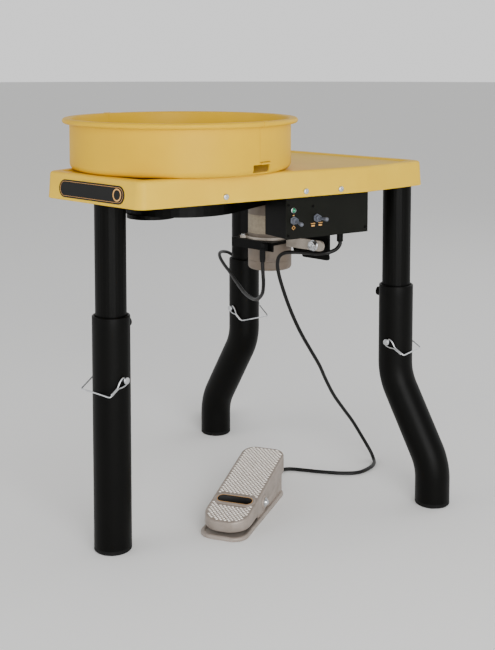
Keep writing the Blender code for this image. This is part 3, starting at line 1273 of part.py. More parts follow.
# ----------------------------------------------------------------------- main
def main():
    """Clear the scene and build every piece."""
    for old in list(bpy.data.objects):
        bpy.data.objects.remove(old)
    yellow = finish("yellow_moulding", (0.76, 0.47, 0.06), 0.42)
    black = finish("black_enamel", (0.008, 0.008, 0.008), 0.38)
    rubber = finish("black_rubber", (0.012, 0.012, 0.012), 0.75)
    zinc = finish("zinc_plate", (0.62, 0.63, 0.65), 0.28, 1.0)
    steel = finish("ground_steel", (0.52, 0.53, 0.55), 0.30, 1.0)
    aluminium = finish("machined_aluminium", (0.72, 0.72, 0.73), 0.35, 1.0)
    cast = finish("cast_aluminium", (0.40, 0.36, 0.33), 0.50, 0.6)
    motor_grey = finish("motor_paint", (0.17, 0.13, 0.10), 0.50)
    panel_black = finish("panel_enamel", (0.010, 0.011, 0.008), 0.50)
    green = finish("green_lens", (0.01, 0.30, 0.16), 0.15)
    board_green = finish("circuit_board", (0.02, 0.14, 0.05), 0.50)
    grey = finish("grey_plastic", (0.16, 0.17, 0.20), 0.45)
    cord_black = finish("cord_jacket", (0.012, 0.012, 0.012), 0.60)

    build_table(yellow)
    build_frame(black)
    for leg in LEGS:
        build_leg(leg, black, zinc, rubber)
    build_wheel(aluminium, steel, black)
    build_pan(yellow)
    build_drive(black, cast, motor_grey, zinc, rubber, aluminium)
    build_control_box(black, panel_black, green, zinc, board_green, grey)
    build_nameplate(panel_black)
    build_pedal(cast, zinc, panel_black, rubber)
    build_cords(cord_black)


main()
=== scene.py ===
"""Electric pottery wheel with a split splash pan, three telescoping legs and a foot pedal.

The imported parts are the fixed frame.  Every class below stands for one
sub-assembly: it holds the sizes of its pieces in metres and builds and
dresses them.  A setback is a distance along +Y from the front leg's axis.
"""

from __future__ import annotations

import json
import logging
import math
from dataclasses import dataclass
from enum import Enum
from typing import Sequence

import bmesh
import bpy
import numpy as np
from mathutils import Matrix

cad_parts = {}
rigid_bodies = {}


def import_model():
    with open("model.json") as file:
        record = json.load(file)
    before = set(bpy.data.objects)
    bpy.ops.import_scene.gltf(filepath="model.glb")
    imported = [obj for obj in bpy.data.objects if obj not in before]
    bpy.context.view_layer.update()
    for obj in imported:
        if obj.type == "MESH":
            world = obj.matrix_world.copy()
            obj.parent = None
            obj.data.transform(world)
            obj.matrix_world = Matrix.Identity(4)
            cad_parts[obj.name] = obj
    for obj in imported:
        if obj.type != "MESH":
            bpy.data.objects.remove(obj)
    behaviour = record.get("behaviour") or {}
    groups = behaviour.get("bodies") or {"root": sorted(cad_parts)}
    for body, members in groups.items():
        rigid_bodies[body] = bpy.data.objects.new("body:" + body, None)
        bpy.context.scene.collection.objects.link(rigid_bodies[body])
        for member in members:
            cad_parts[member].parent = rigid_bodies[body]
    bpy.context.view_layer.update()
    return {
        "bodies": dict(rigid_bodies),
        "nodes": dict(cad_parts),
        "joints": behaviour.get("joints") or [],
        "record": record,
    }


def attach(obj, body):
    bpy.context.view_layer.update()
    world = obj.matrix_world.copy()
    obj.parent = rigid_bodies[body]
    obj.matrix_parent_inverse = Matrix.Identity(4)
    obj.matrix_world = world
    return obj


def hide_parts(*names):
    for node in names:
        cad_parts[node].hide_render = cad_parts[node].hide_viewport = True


LOG = logging.getLogger("pottery_wheel")
FRONT_LEG_Y = -0.2975
WHEEL_Y = FRONT_LEG_Y + 0.184
MOTOR_Y = FRONT_LEG_Y + 0.450
ROOT = "table_and_frame"


# --------------------------------------------------------------------------
# Shapes
# --------------------------------------------------------------------------
@dataclass
class Shell:
    """Vertices and faces of a surface, ready to become a mesh."""

    points: np.ndarray
    faces: list[list[int]]

    def moved(self, matrix: np.ndarray) -> "Shell":
        """Carry the shell to its place.

        Args:
            matrix: 4 by 4 matrix from the shell's own frame to the row frame.

        Returns:
            The shell with its points moved.
        """
        return Shell(self.points @ matrix[:3, :3].T + matrix[:3, 3], self.faces)

    @staticmethod
    def joined(shells: Sequence["Shell"]) -> "Shell":
        """Put several shells into one mesh.

        Args:
            shells: The shells, whose points stay where they are.

        Returns:
            One shell with all of their points and faces.
        """
        points, faces, start = [], [], 0
        for shell in shells:
            points.append(shell.points)
            faces += [[index + start for index in face] for face in shell.faces]
            start += len(shell.points)
        return Shell(np.concatenate(points), faces)


def grid_shell(grid: np.ndarray, wrap_rows: bool = False, wrap_columns: bool = True,
               caps: bool = False) -> Shell:
    """Skin a grid of points: each face joins four neighbours of the grid.

    Args:
        grid: Points, as rows by columns by 3.
        wrap_rows: Whether the last row joins the first one.
        wrap_columns: Whether the last column joins the first one.
        caps: Whether the first and last rows are closed with a flat face.

    Returns:
        The skinned shell.
    """
    rows, columns = grid.shape[:2]
    index = np.arange(rows * columns).reshape(rows, columns)
    down = np.roll(index, -1, axis=0)
    if not wrap_rows:
        index, down = index[:-1], down[:-1]
    right, down_right = np.roll(index, -1, axis=1), np.roll(down, -1, axis=1)
    quads = np.stack([index, right, down_right, down], axis=-1)
    if not wrap_columns:
        quads = quads[:, :-1]
    faces = quads.reshape(-1, 4).tolist()
    if caps:
        whole = np.arange(rows * columns).reshape(rows, columns)
        faces += [whole[0][::-1].tolist(), whole[-1].tolist()]
    return Shell(grid.reshape(-1, 3), faces)


def unit(vectors: np.ndarray) -> np.ndarray:
    """Vectors of the same directions, each of length one."""
    return vectors / np.linalg.norm(vectors, axis=-1, keepdims=True)


def turned(radius: np.ndarray, angle: np.ndarray, height: np.ndarray,
           y: float = WHEEL_Y) -> np.ndarray:
    """Points at radii, angles and heights round an upright axis at x = 0.

    Args:
        radius: Distances from the axis.
        angle: Angles from +X, which broadcast against the radii.
        height: Heights, which broadcast against both.
        y: Where the axis stands.

    Returns:
        The points, with their coordinates along the last axis.
    """
    radius, angle, height = np.broadcast_arrays(radius, angle, height)
    return np.stack([radius * np.cos(angle), radius * np.sin(angle) + y, height], axis=-1)


def travelled(points: np.ndarray) -> np.ndarray:
    """Distance of each point along its line, from zero at the first one."""
    return np.concatenate([[0], np.cumsum(np.linalg.norm(np.diff(points, axis=0), axis=1))])


def read_along(points: np.ndarray, wanted: np.ndarray) -> np.ndarray:
    """Read a line of points at the wanted distances along it."""
    length = travelled(points)
    return np.stack([np.interp(wanted, length, axis) for axis in points.T], axis=-1)


def lathe(profile: np.ndarray, segments: int = 64, closed: bool = True) -> Shell:
    """Turn a profile round Z: x = r cos a, y = r sin a, z unchanged.

    Args:
        profile: Radius and height of each point, as n by 2.
        segments: Steps round the circle.
        closed: Whether the profile's end joins its start.

    Returns:
        The turned shell, centred on Z.
    """
    angle = np.linspace(0, math.tau, segments, endpoint=False)
    grid = turned(profile[:, :1], angle, profile[:, 1:], 0.0)
    return grid_shell(grid, wrap_rows=closed)


def arc(centre: tuple[float, float], radius: float, start: float, end: float,
        steps: int = 6) -> np.ndarray:
    """Points of an arc: the centre plus the radius at evenly spaced angles.

    Args:
        centre: Centre of the circle.
        radius: Its radius.
        start: First angle in degrees.
        end: Last angle in degrees.
        steps: Number of steps.

    Returns:
        The points, as n by 2.
    """
    angle = np.radians(np.linspace(start, end, steps + 1))
    return np.stack([centre[0] + radius * np.cos(angle),
                     centre[1] + radius * np.sin(angle)], axis=-1)


def rounded_outline(corners: Sequence[tuple[float, float]],
                    radii: float | Sequence[float], steps: int = 12) -> np.ndarray:
    """Round each corner of a convex, counter-clockwise polygon.

    Each corner becomes an arc that touches both of its sides, so its centre is
    the radius over the sine of half the corner's angle away, on the bisector.

    Args:
        corners: The polygon's corners.
        radii: One radius, or one for each corner.
        steps: Steps in each arc.

    Returns:
        The outline's points, as n by 2.
    """
    place = np.array(corners, dtype=float)
    size = np.broadcast_to(np.array(radii, dtype=float), (len(place),))
    before = unit(np.roll(place, 1, axis=0) - place)
    after = unit(np.roll(place, -1, axis=0) - place)
    half = np.arccos(np.clip((before * after).sum(axis=1), -1, 1)) / 2
    bisector = unit(before + after)
    centre = place + bisector * (size / np.sin(half))[:, None]
    foot = before * (size / np.tan(half))[:, None] + place - centre
    start = np.arctan2(foot[:, 1], foot[:, 0])
    turn = np.linspace(0, 1, steps + 1)[None, :] * (math.pi - 2 * half)[:, None]
    angle = start[:, None] + turn
    points = centre[:, None, :] + size[:, None, None] * np.stack(
        [np.cos(angle), np.sin(angle)], axis=-1)
    return points.reshape(-1, 2)


def inset_corners(corners: Sequence[tuple[float, float]], distance: float) -> np.ndarray:
    """Move every side of a convex, counter-clockwise polygon inwards.

    Args:
        corners: The polygon's corners.
        distance: How far its sides move.

    Returns:
        The new corners: each moves along the mean of its sides' normals.
    """
    place = np.array(corners, dtype=float)
    after = unit(np.roll(place, -1, axis=0) - place)
    normal = np.stack([-after[:, 1], after[:, 0]], axis=-1)
    bisector = unit(normal + np.roll(normal, 1, axis=0))
    return place + bisector * (distance / (bisector * normal).sum(axis=1))[:, None]


def even_outline(outline: np.ndarray, count: int) -> np.ndarray:
    """Read a closed outline at equal distances along it.

    Args:
        outline: The outline's points.
        count: How many points to read.

    Returns:
        The evenly spaced points.
    """
    ring = np.concatenate([outline, outline[:1]])
    return read_along(ring, np.linspace(0, travelled(ring)[-1], count, endpoint=False))


def stacked(corners: Sequence[tuple[float, float]], radii: float | Sequence[float],
            levels: Sequence[tuple[float, float]], steps: int = 12,
            smallest: float = 0.0002) -> np.ndarray:
    """Loops of a rounded polygon, one above the other.

    Args:
        corners: The polygon's corners.
        radii: Their radii where the inset is zero.
        levels: Inset and height of each loop.
        steps: Steps in each corner.
        smallest: The radius that no corner goes below.

    Returns:
        The loops, as levels by points by 3.
    """
    loops = []
    for inset, z in levels:
        radius = np.maximum(np.array(radii, dtype=float) - inset, smallest)
        outline = rounded_outline(inset_corners(corners, inset), radius, steps)
        loops.append(np.column_stack([outline, np.full(len(outline), z)]))
    return np.array(loops)


def slab(corners: Sequence[tuple[float, float]], radii: float | Sequence[float],
         low: float, high: float, edge: float = 0.0008, steps: int = 12) -> Shell:
    """A flat plate with rounded corners and softened upper and lower edges.

    The outline shrinks by the edge's radius times one minus the sine as it
    rises by the radius times one minus the cosine.

    Args:
        corners: The plate's corners.
        radii: Their radii.
        low: Height of the underside.
        high: Height of the top.
        edge: Radius of its edges.
        steps: Steps in each corner.

    Returns:
        The closed plate.
    """
    turn = np.radians([0, 30, 60, 90])
    inset = edge * (1 - np.sin(turn))
    rise = edge * (1 - np.cos(turn))
    levels = [(i, low + r) for i, r in zip(inset, rise)]
    levels += [(i, high - r) for i, r in zip(inset[::-1], rise[::-1])]
    return grid_shell(stacked(corners, radii, levels, steps), caps=True)


def box_corners(x0: float, x1: float, y0: float, y1: float) -> list[tuple[float, float]]:
    """Corners of a rectangle, counter-clockwise."""
    return [(x0, y0), (x1, y0), (x1, y1), (x0, y1)]


def smooth_route(points: Sequence[Sequence[float]], spacing: float) -> np.ndarray:
    """Read a smooth curve through the given points at an even spacing.

    The curve between two points is the cubic whose slope at each end is half
    the step between that point's neighbours.

    Args:
        points: The points that the curve passes through.
        spacing: Distance between the points that are read.

    Returns:
        The evenly spaced points, as n by 3.
    """
    given = np.array(points, dtype=float)
    guide = np.concatenate([[2 * given[0] - given[1]], given, [2 * given[-1] - given[-2]]])
    a, b, c, d = (guide[k:len(guide) - 3 + k][:, None, :] for k in range(4))
    t = np.linspace(0, 1, 24, endpoint=False)[None, :, None]
    fine = 0.5 * (2 * b + (c - a) * t + (2 * a - 5 * b + 4 * c - d) * t ** 2
                  + (3 * b - a - 3 * c + d) * t ** 3)
    fine = np.concatenate([fine.reshape(-1, 3), given[-1:]])
    whole = travelled(fine)[-1]
    return read_along(fine, np.linspace(0, whole, max(3, round(whole / spacing)) + 1))


def tube(path: np.ndarray, radius: float | np.ndarray, sides: int = 12,
         round_ends: bool = True) -> Shell:
    """Carry a circle along a path, each ring square to the path.

    The ring's first direction is carried along without twist: at each point
    the part of it along the path is taken out of the last one.

    Args:
        path: Points of the centre line.
        radius: The circle's radius, or one for each point.
        sides: Points round the circle.
        round_ends: Whether the ends are domed.

    Returns:
        The closed tube.
    """
    size = np.broadcast_to(np.array(radius, dtype=float), (len(path),)).copy()
    if round_ends:
        turn = np.radians([90, 65, 40, 18])
        first, last = unit(path[0] - path[1]), unit(path[-1] - path[-2])
        head = path[0] + first * (size[0] * np.sin(turn) * 0.55)[:, None]
        tail = path[-1] + last * (size[-1] * np.sin(turn) * 0.55)[::-1, None]
        dome = np.maximum(np.cos(turn), 0.05)
        path = np.concatenate([head, path, tail])
        size = np.concatenate([size[0] * dome, size, size[-1] * dome[::-1]])
    along = unit(np.gradient(path, axis=0))
    first = np.cross(along[0], [0, 0, 1.0])
    if np.linalg.norm(first) < 0.1:
        first = np.cross(along[0], [0, 1.0, 0])
    across = np.empty_like(path)
    across[0] = unit(first)
    for k in range(1, len(path)):
        across[k] = unit(across[k - 1] - along[k] * np.dot(across[k - 1], along[k]))
    upward = np.cross(along, across)
    angle = np.linspace(0, math.tau, sides, endpoint=False)
    ring = (across[:, None, :] * np.cos(angle)[None, :, None]
            + upward[:, None, :] * np.sin(angle)[None, :, None])
    return grid_shell(path[:, None, :] + ring * size[:, None, None], caps=True)


def standing(point: Sequence[float], axis: Sequence[float],
             first: Sequence[float] | None = None) -> np.ndarray:
    """Matrix that stands the local Z along an axis at a point.

    Args:
        point: Where the local origin goes.
        axis: Where the local Z points.
        first: Where the local X points, if that matters.

    Returns:
        The 4 by 4 matrix.
    """
    z = unit(np.array(axis, dtype=float))
    guess = np.array(first if first is not None else
                     ([0, 0, 1.0] if abs(z[2]) < 0.9 else [1.0, 0, 0]), dtype=float)
    x = unit(guess - z * np.dot(guess, z))
    matrix = np.eye(4)
    matrix[:3, 0], matrix[:3, 1], matrix[:3, 2] = x, np.cross(z, x), z
    matrix[:3, 3] = point
    return matrix


def frame_matrix(origin: Sequence[float], turn: float) -> np.ndarray:
    """Matrix of a frame that is turned about Z by an angle in radians."""
    matrix = np.eye(4)
    matrix[:2, 0] = math.cos(turn), math.sin(turn)
    matrix[:2, 1] = -math.sin(turn), math.cos(turn)
    matrix[:3, 3] = origin
    return matrix


def dome_screw(radius: float, height: float) -> Shell:
    """A pan head with a small sunk recess, standing on its flat side.

    The top follows a flattened quarter circle and drops into the recess.
    """
    rim = arc((radius - height * 0.8, height * 0.2), height * 0.8, 0, 80, 6)
    profile = np.concatenate([[[0, 0], [radius, 0]], rim,
                              [[radius * 0.42, height], [radius * 0.30, height * 0.45],
                               [0, height * 0.35]]])
    return lathe(profile, 24, closed=False)


def hexagon(radius: float, low: float, high: float) -> Shell:
    """A hexagonal head or nut with softened edges, centred on Z."""
    angle = np.radians(np.arange(6) * 60)
    corners = [(radius * math.cos(a), radius * math.sin(a)) for a in angle]
    return slab(corners, radius * 0.08, low, high, radius * 0.07, 3)


# --------------------------------------------------------------------------
# Finishes
# --------------------------------------------------------------------------
class Grain(Enum):
    """How a surface was made, which sets the pattern of its finish."""

    MOULDED = "moulded"
    SPRAYED = "sprayed"
    PLATED = "plated"
    TURNED = "turned"
    CAST = "cast"
    EXTRUDED = "extruded"
    CLEAR = "clear"


def linear(code: str) -> tuple[float, float, float, float]:
    """Turn an sRGB hex colour into linear light.

    Args:
        code: Six hex digits.

    Returns:
        Linear red, green and blue, and 1 for alpha.
    """
    share = [int(code[k:k + 2], 16) / 255 for k in (0, 2, 4)]
    light = [s / 12.92 if s <= 0.04045 else ((s + 0.055) / 1.055) ** 2.4 for s in share]
    return (light[0], light[1], light[2], 1.0)


def add_node(tree: bpy.types.NodeTree, kind: str, inputs: dict | None = None,
             **settings: object) -> bpy.types.Node:
    """Add a node with its settings, values and links.

    Args:
        tree: The node tree.
        kind: The node's type name.
        inputs: Value or linked socket for each input, by name or number.
        settings: Properties of the node.

    Returns:
        The new node.
    """
    made = tree.nodes.new(kind)
    for key, value in settings.items():
        setattr(made, key, value)
    for key, value in (inputs or {}).items():
        if isinstance(value, bpy.types.NodeSocket):
            tree.links.new(value, made.inputs[key])
        else:
            made.inputs[key].default_value = value
    return made


@dataclass(frozen=True)
class Finish:
    """A real material with its colours, gloss and grain.

    The two colours drift into each other over patches of patch_mm, and the
    grain raises the surface by depth_mm over grain_mm.
    """

    name: str
    colour: str
    drift: str
    roughness: float
    spread: float = 0.05
    metallic: float = 0.0
    ior: float = 1.5
    specular: float = 0.5
    coat: float = 0.0
    grain: Grain = Grain.MOULDED
    grain_mm: float = 2.0
    depth_mm: float = 0.03
    patch_mm: float = 70.0
    centre: tuple[float, float, float] = (0.0, 0.0, 0.0)

    def material(self) -> bpy.types.Material:
        """Build the finish's node tree on Object coordinates.

        Returns:
            The material.
        """
        found = bpy.data.materials.get(self.name)
        if found is not None:
            return found
        made = bpy.data.materials.new(self.name)
        made.use_nodes = True
        tree = made.node_tree
        shader = tree.nodes["Principled BSDF"]
        shader.inputs["Metallic"].default_value = self.metallic
        if self.metallic < 0.5:
            shader.inputs["IOR"].default_value = self.ior
        shader.inputs["Specular IOR Level"].default_value = self.specular
        shader.inputs["Coat Weight"].default_value = self.coat
        shader.inputs["Coat Roughness"].default_value = 0.12
        place = add_node(tree, "ShaderNodeTexCoord").outputs["Object"]
        patches = add_node(tree, "ShaderNodeTexNoise",
                           {"Vector": place, "Scale": 1000 / self.patch_mm,
                            "Detail": 3.0, "Roughness": 0.55})
        share = add_node(tree, "ShaderNodeMapRange",
                         {"Value": patches.outputs["Fac"], "From Min": 0.32, "From Max": 0.68})
        colour = add_node(tree, "ShaderNodeMix",
                          {"Factor": share.outputs["Result"], 6: linear(self.colour),
                           7: linear(self.drift)}, data_type="RGBA")
        tree.links.new(colour.outputs[2], shader.inputs["Base Color"])
        height = self._relief(tree, place)
        gloss = add_node(tree, "ShaderNodeMapRange",
                         {"Value": height, "To Min": self.roughness - self.spread,
                          "To Max": self.roughness + self.spread})
        tree.links.new(gloss.outputs["Result"], shader.inputs["Roughness"])
        bump = add_node(tree, "ShaderNodeBump",
                        {"Strength": 1.0, "Distance": self.depth_mm / 1000, "Height": height})
        tree.links.new(bump.outputs["Normal"], shader.inputs["Normal"])
        return made

    def _relief(self, tree: bpy.types.NodeTree,
                place: bpy.types.NodeSocket) -> bpy.types.NodeSocket:
        """Height of the grain, from 0 to 1, in the way the surface was made.

        Args:
            tree: The material's node tree.
            place: The Object coordinates.

        Returns:
            The socket that carries the height.
        """
        scale = 1000 / self.grain_mm
        if self.grain is Grain.TURNED:  # rings: noise read along the distance from the axis
            moved = add_node(tree, "ShaderNodeMapping",
                             {"Vector": place,
                              "Location": tuple(-value for value in self.centre)})
            flat = add_node(tree, "ShaderNodeVectorMath",
                            {0: moved.outputs["Vector"], 1: (1.0, 1.0, 0.0)},
                            operation="MULTIPLY")
            far = add_node(tree, "ShaderNodeVectorMath", {0: flat.outputs["Vector"]},
                           operation="LENGTH")
            rings = add_node(tree, "ShaderNodeTexNoise",
                             {"W": far.outputs["Value"], "Scale": scale, "Detail": 2.0},
                             noise_dimensions="1D")
            return rings.outputs["Fac"]
        if self.grain is Grain.CAST:  # sand grains: cells softened by noise
            cells = add_node(tree, "ShaderNodeTexVoronoi",
                             {"Vector": place, "Scale": scale, "Smoothness": 0.6},
                             feature="SMOOTH_F1")
            fine = add_node(tree, "ShaderNodeTexNoise",
                            {"Vector": place, "Scale": scale * 0.6, "Detail": 4.0})
            mixed = add_node(tree, "ShaderNodeMath",
                             {0: cells.outputs["Distance"], 1: fine.outputs["Fac"]},
                             operation="MULTIPLY_ADD")
            mixed.inputs[2].default_value = 0.2
            return mixed.outputs["Value"]
        if self.grain is Grain.EXTRUDED:  # faint scratches along Z
            stretched = add_node(tree, "ShaderNodeMapping",
                                 {"Vector": place, "Scale": (1.0, 1.0, 0.12)})
            lines = add_node(tree, "ShaderNodeTexNoise",
                             {"Vector": stretched.outputs["Vector"], "Scale": scale,
                              "Detail": 3.0})
            return lines.outputs["Fac"]
        detail = {Grain.MOULDED: 2.0, Grain.SPRAYED: 1.0, Grain.PLATED: 4.0,
                  Grain.CLEAR: 0.0}[self.grain]
        peel = add_node(tree, "ShaderNodeTexNoise",
                        {"Vector": place, "Scale": scale, "Detail": detail,
                         "Roughness": 0.5})
        return peel.outputs["Fac"]


# Rotomoulded polyethylene: a soft, slightly waxy satin with a fine grain.
PAN_YELLOW = Finish("rotomoulded_pan_yellow", "DEB000", "D8A900", 0.46, specular=0.2,
                    grain_mm=2.4, depth_mm=0.035, patch_mm=110)
# Structural foam sheet, paler, with the faint flow clouds of foamed plastic.
TABLE_YELLOW = Finish("structural_foam_yellow", "E6BC28", "E0B422", 0.48, specular=0.2,
                      grain_mm=3.0, depth_mm=0.04, patch_mm=90)
# Baked enamel on steel tube: near black with the small ripple of sprayed paint.
BLACK_ENAMEL = Finish("baked_black_enamel", "030302", "050504", 0.42, specular=0.10,
                      grain=Grain.SPRAYED, grain_mm=3.5, depth_mm=0.03, patch_mm=120)
# Matt stoved enamel of the control panel, slightly green black.
PANEL_ENAMEL = Finish("matt_panel_enamel", "0B0C07", "0F100A", 0.5, specular=0.15,
                      grain=Grain.SPRAYED, grain_mm=2.2, depth_mm=0.02, patch_mm=60)
# Bright zinc on steel: bluish, with small spangle.
ZINC = Finish("bright_zinc_plate", "DCDEE0", "C6C8CA", 0.28, metallic=1.0,
              grain=Grain.PLATED, grain_mm=1.5, depth_mm=0.01, patch_mm=12)
# Ground steel of the shaft and bearings.
GROUND_STEEL = Finish("ground_steel", "A9ABAE", "989A9D", 0.28, metallic=1.0,
                      grain=Grain.PLATED, grain_mm=1.2, depth_mm=0.01, patch_mm=20)
# Turned aluminium: concentric tool marks about the wheel's axis.
TURNED_ALUMINIUM = Finish("turned_aluminium", "D0D0CE", "BDBDBB", 0.30, metallic=1.0,
                          grain=Grain.TURNED, grain_mm=1.6, depth_mm=0.02, patch_mm=60,
                          centre=(0.0, WHEEL_Y, 0.0))
# Sand-cast, tumbled aluminium: dull, warm and slightly pitted.
CAST_ALUMINIUM = Finish("tumbled_cast_aluminium", "A59A91", "94897F", 0.50, 0.08, 0.35,
                        grain=Grain.CAST, grain_mm=2.6, depth_mm=0.09, patch_mm=30)
# The tread's crowns, painted near white: a painted highlight for the light that their tops catch.
CROWNS_PAINTED_HIGHLIGHT = Finish("rubbed_aluminium_crowns", "F4EEE6", "E2DAD0", 0.38, 0.06, 0.25,
                       grain=Grain.CAST, grain_mm=2.0, depth_mm=0.02, patch_mm=9)
# Grey-brown enamel of the motor's can, dusty.
MOTOR_PAINT = Finish("motor_can_paint", "75685A", "665A4E", 0.52,
                     grain=Grain.SPRAYED, grain_mm=2.5, depth_mm=0.03, patch_mm=25)
# Die-cast end ring and arm of the motor's mount, pale.
DIE_CAST = Finish("die_cast_zinc_alloy", "B9AFA2", "A89E92", 0.45, 0.06, 0.45,
                  grain=Grain.CAST, grain_mm=2.2, depth_mm=0.04, patch_mm=22)
# Vulcanised rubber of the feet, boots and belt.
RUBBER = Finish("vulcanised_rubber", "080808", "0C0C0B", 0.72, specular=0.2,
                grain_mm=2.0, depth_mm=0.03, patch_mm=25, ior=1.52)
# Vinyl cord jacket: black with a soft shine.
CORD_JACKET = Finish("vinyl_cord_jacket", "060505", "0A0908", 0.40, specular=0.25,
                     grain_mm=3.0, depth_mm=0.03, patch_mm=40, ior=1.53)
# Glass-epoxy circuit board.
BOARD = Finish("glass_epoxy_board", "2A6B3C", "235C33", 0.45,
               grain_mm=2.0, depth_mm=0.01, patch_mm=12)
# Moulded nylon of the toggle levers, bluish grey.
TOGGLE_GREY = Finish("moulded_grey_nylon", "5F636E", "525661", 0.42,
                     grain_mm=1.5, depth_mm=0.01, patch_mm=8)
# Printing ink of the small marks, a warm orange.
MARK_INK = Finish("orange_marking_ink", "D9A25A", "CF9850", 0.55, grain=Grain.SPRAYED,
                  grain_mm=1.5, depth_mm=0.005, patch_mm=6)
# Printed paper label on the motor, plain and yellowed.
LABEL = Finish("aged_paper_label", "A69880", "8F8270", 0.6,
               grain_mm=1.2, depth_mm=0.01, patch_mm=7)
# Green acrylic lens of the lamp.
GREEN_LENS = Finish("green_acrylic_lens", "1E8C64", "17805A", 0.12, 0.02, ior=1.49,
                    coat=0.5, grain=Grain.CLEAR, grain_mm=4.0, depth_mm=0.0, patch_mm=3)
# Dark plate of the front badge, gloss lacquer.
BADGE_BLACK = Finish("lacquered_badge_black", "040403", "070605", 0.4, specular=0.2,
                     grain=Grain.SPRAYED, grain_mm=2.5, depth_mm=0.01, patch_mm=40)


# --------------------------------------------------------------------------
# Pieces
# --------------------------------------------------------------------------
def add_object(name: str, data: bpy.types.ID) -> bpy.types.Object:
    """Put a new object that shows the data into the scene."""
    made = bpy.data.objects.new(name, data)
    bpy.context.scene.collection.objects.link(made)
    return made


def make_piece(name: str, shell: Shell, finish: Finish, body: str,
               replaces: Sequence[str] = (), sharp: float = 38.0) -> bpy.types.Object:
    """Turn a shell into a dressed object that rides on a body.

    Args:
        name: The piece's name.
        shell: Its surface in the row frame.
        finish: Its finish.
        body: The body that carries it.
        replaces: Frame nodes that it stands for.
        sharp: Edges above this angle in degrees stay sharp.

    Returns:
        The object.
    """
    mesh = bpy.data.meshes.new(name)
    mesh.from_pydata(shell.points.tolist(), [], shell.faces)
    work = bmesh.new()
    work.from_mesh(mesh)
    bmesh.ops.remove_doubles(work, verts=work.verts, dist=2e-6)
    bmesh.ops.recalc_face_normals(work, faces=work.faces)
    work.to_mesh(mesh)
    work.free()
    mesh.shade_smooth()
    mesh.set_sharp_from_angle(angle=math.radians(sharp))
    mesh.materials.append(finish.material())
    made = add_object(name, mesh)
    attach(made, body)
    if replaces:
        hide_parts(*replaces)
    LOG.info("%s: %d faces on %s", name, len(mesh.polygons), body)
    return made


def dress(frame: dict, finish: Finish, *nodes: str) -> None:
    """Give frame nodes that keep their shape a finish.

    Args:
        finish: The finish.
        nodes: The nodes' names.
    """
    for node in nodes:
        slots = frame["nodes"][node].data.materials
        slots.clear()
        slots.append(finish.material())


@dataclass
class Studio:
    """Pale floor, soft light and the camera."""

    lens_mm: float = 60.87
    rise: float = -0.284
    camera_at: tuple[float, float, float] = (1.5987, -1.6183, 0.9463)
    camera_turn: tuple[float, float, float] = (85.65, 0.0, 43.25)
    floor_radius: float = 40.0
    floor_z: float = -0.0002
    floor_colour: str = "FBFBFA"
    sky_low: float = 1.1
    sky_high: float = 0.45

    def build(self) -> None:
        """Make the camera, the lights, the sky and the floor."""
        self._camera()
        self._sky()
        self._light("key_softbox", (2.9, -1.7, 1.3), (0.0, 0.0, 0.5), 2.2, 100.0)
        self._light("left_softbox", (-1.6, -2.9, 1.5), (0.0, 0.0, 0.45), 2.0, 22.0)
        self._light("rear_softbox", (0.6, 3.0, 2.4), (0.0, 0.1, 0.6), 2.4, 18.0)
        self._floor()

    def _camera(self) -> None:
        """Stand the camera with its lens raised, so that uprights stay upright."""
        data = bpy.data.cameras.new("view")
        data.lens, data.sensor_width, data.shift_y = self.lens_mm, 36.0, self.rise
        data.clip_end = 200.0
        camera = add_object("view", data)
        camera.location = self.camera_at
        camera.rotation_euler = [math.radians(a) for a in self.camera_turn]
        bpy.context.scene.camera = camera

    def _sky(self) -> None:
        """Even white near the horizon that darkens overhead, like a tent of cloth."""
        world = bpy.data.worlds.new("tent")
        world.use_nodes = True
        tree = world.node_tree
        way = add_node(tree, "ShaderNodeTexCoord").outputs["Generated"]
        parts = add_node(tree, "ShaderNodeSeparateXYZ", {0: way})
        level = add_node(tree, "ShaderNodeMapRange",
                         {"Value": parts.outputs["Z"], "From Min": 0.2, "From Max": 0.8,
                          "To Min": self.sky_low, "To Max": self.sky_high})
        tree.links.new(level.outputs["Result"], tree.nodes["Background"].inputs["Strength"])
        tree.nodes["Background"].inputs["Color"].default_value = (1.0, 1.0, 1.0, 1.0)
        bpy.context.scene.world = world

    def _light(self, name: str, place: tuple[float, float, float],
               aim: tuple[float, float, float], size: float, power: float) -> None:
        """Hang a square softbox.

        Args:
            name: The light's name.
            place: Where it hangs.
            aim: The point that it faces.
            size: Its side.
            power: Its power in watts.
        """
        data = bpy.data.lights.new(name, "AREA")
        data.size, data.energy = size, power
        lamp = add_object(name, data)
        matrix = standing(place, np.array(place) - np.array(aim))
        lamp.matrix_world = [list(row) for row in matrix.T]

    def _floor(self) -> None:
        """Lay a wide disc of pale board: rings of growing radius at height zero."""
        radius = np.array([0.0, 1.0, 3.0, 10.0, self.floor_radius])
        profile = np.column_stack([radius, np.full(len(radius), self.floor_z)])
        shell = lathe(profile, 96, closed=False)
        mesh = bpy.data.meshes.new("floor")
        mesh.from_pydata(shell.points.tolist(), [], shell.faces)
        board = Finish("pale_board", self.floor_colour, self.floor_colour, 0.85,
                       grain_mm=6, depth_mm=0.0)
        mesh.materials.append(board.material())
        add_object("floor", mesh)


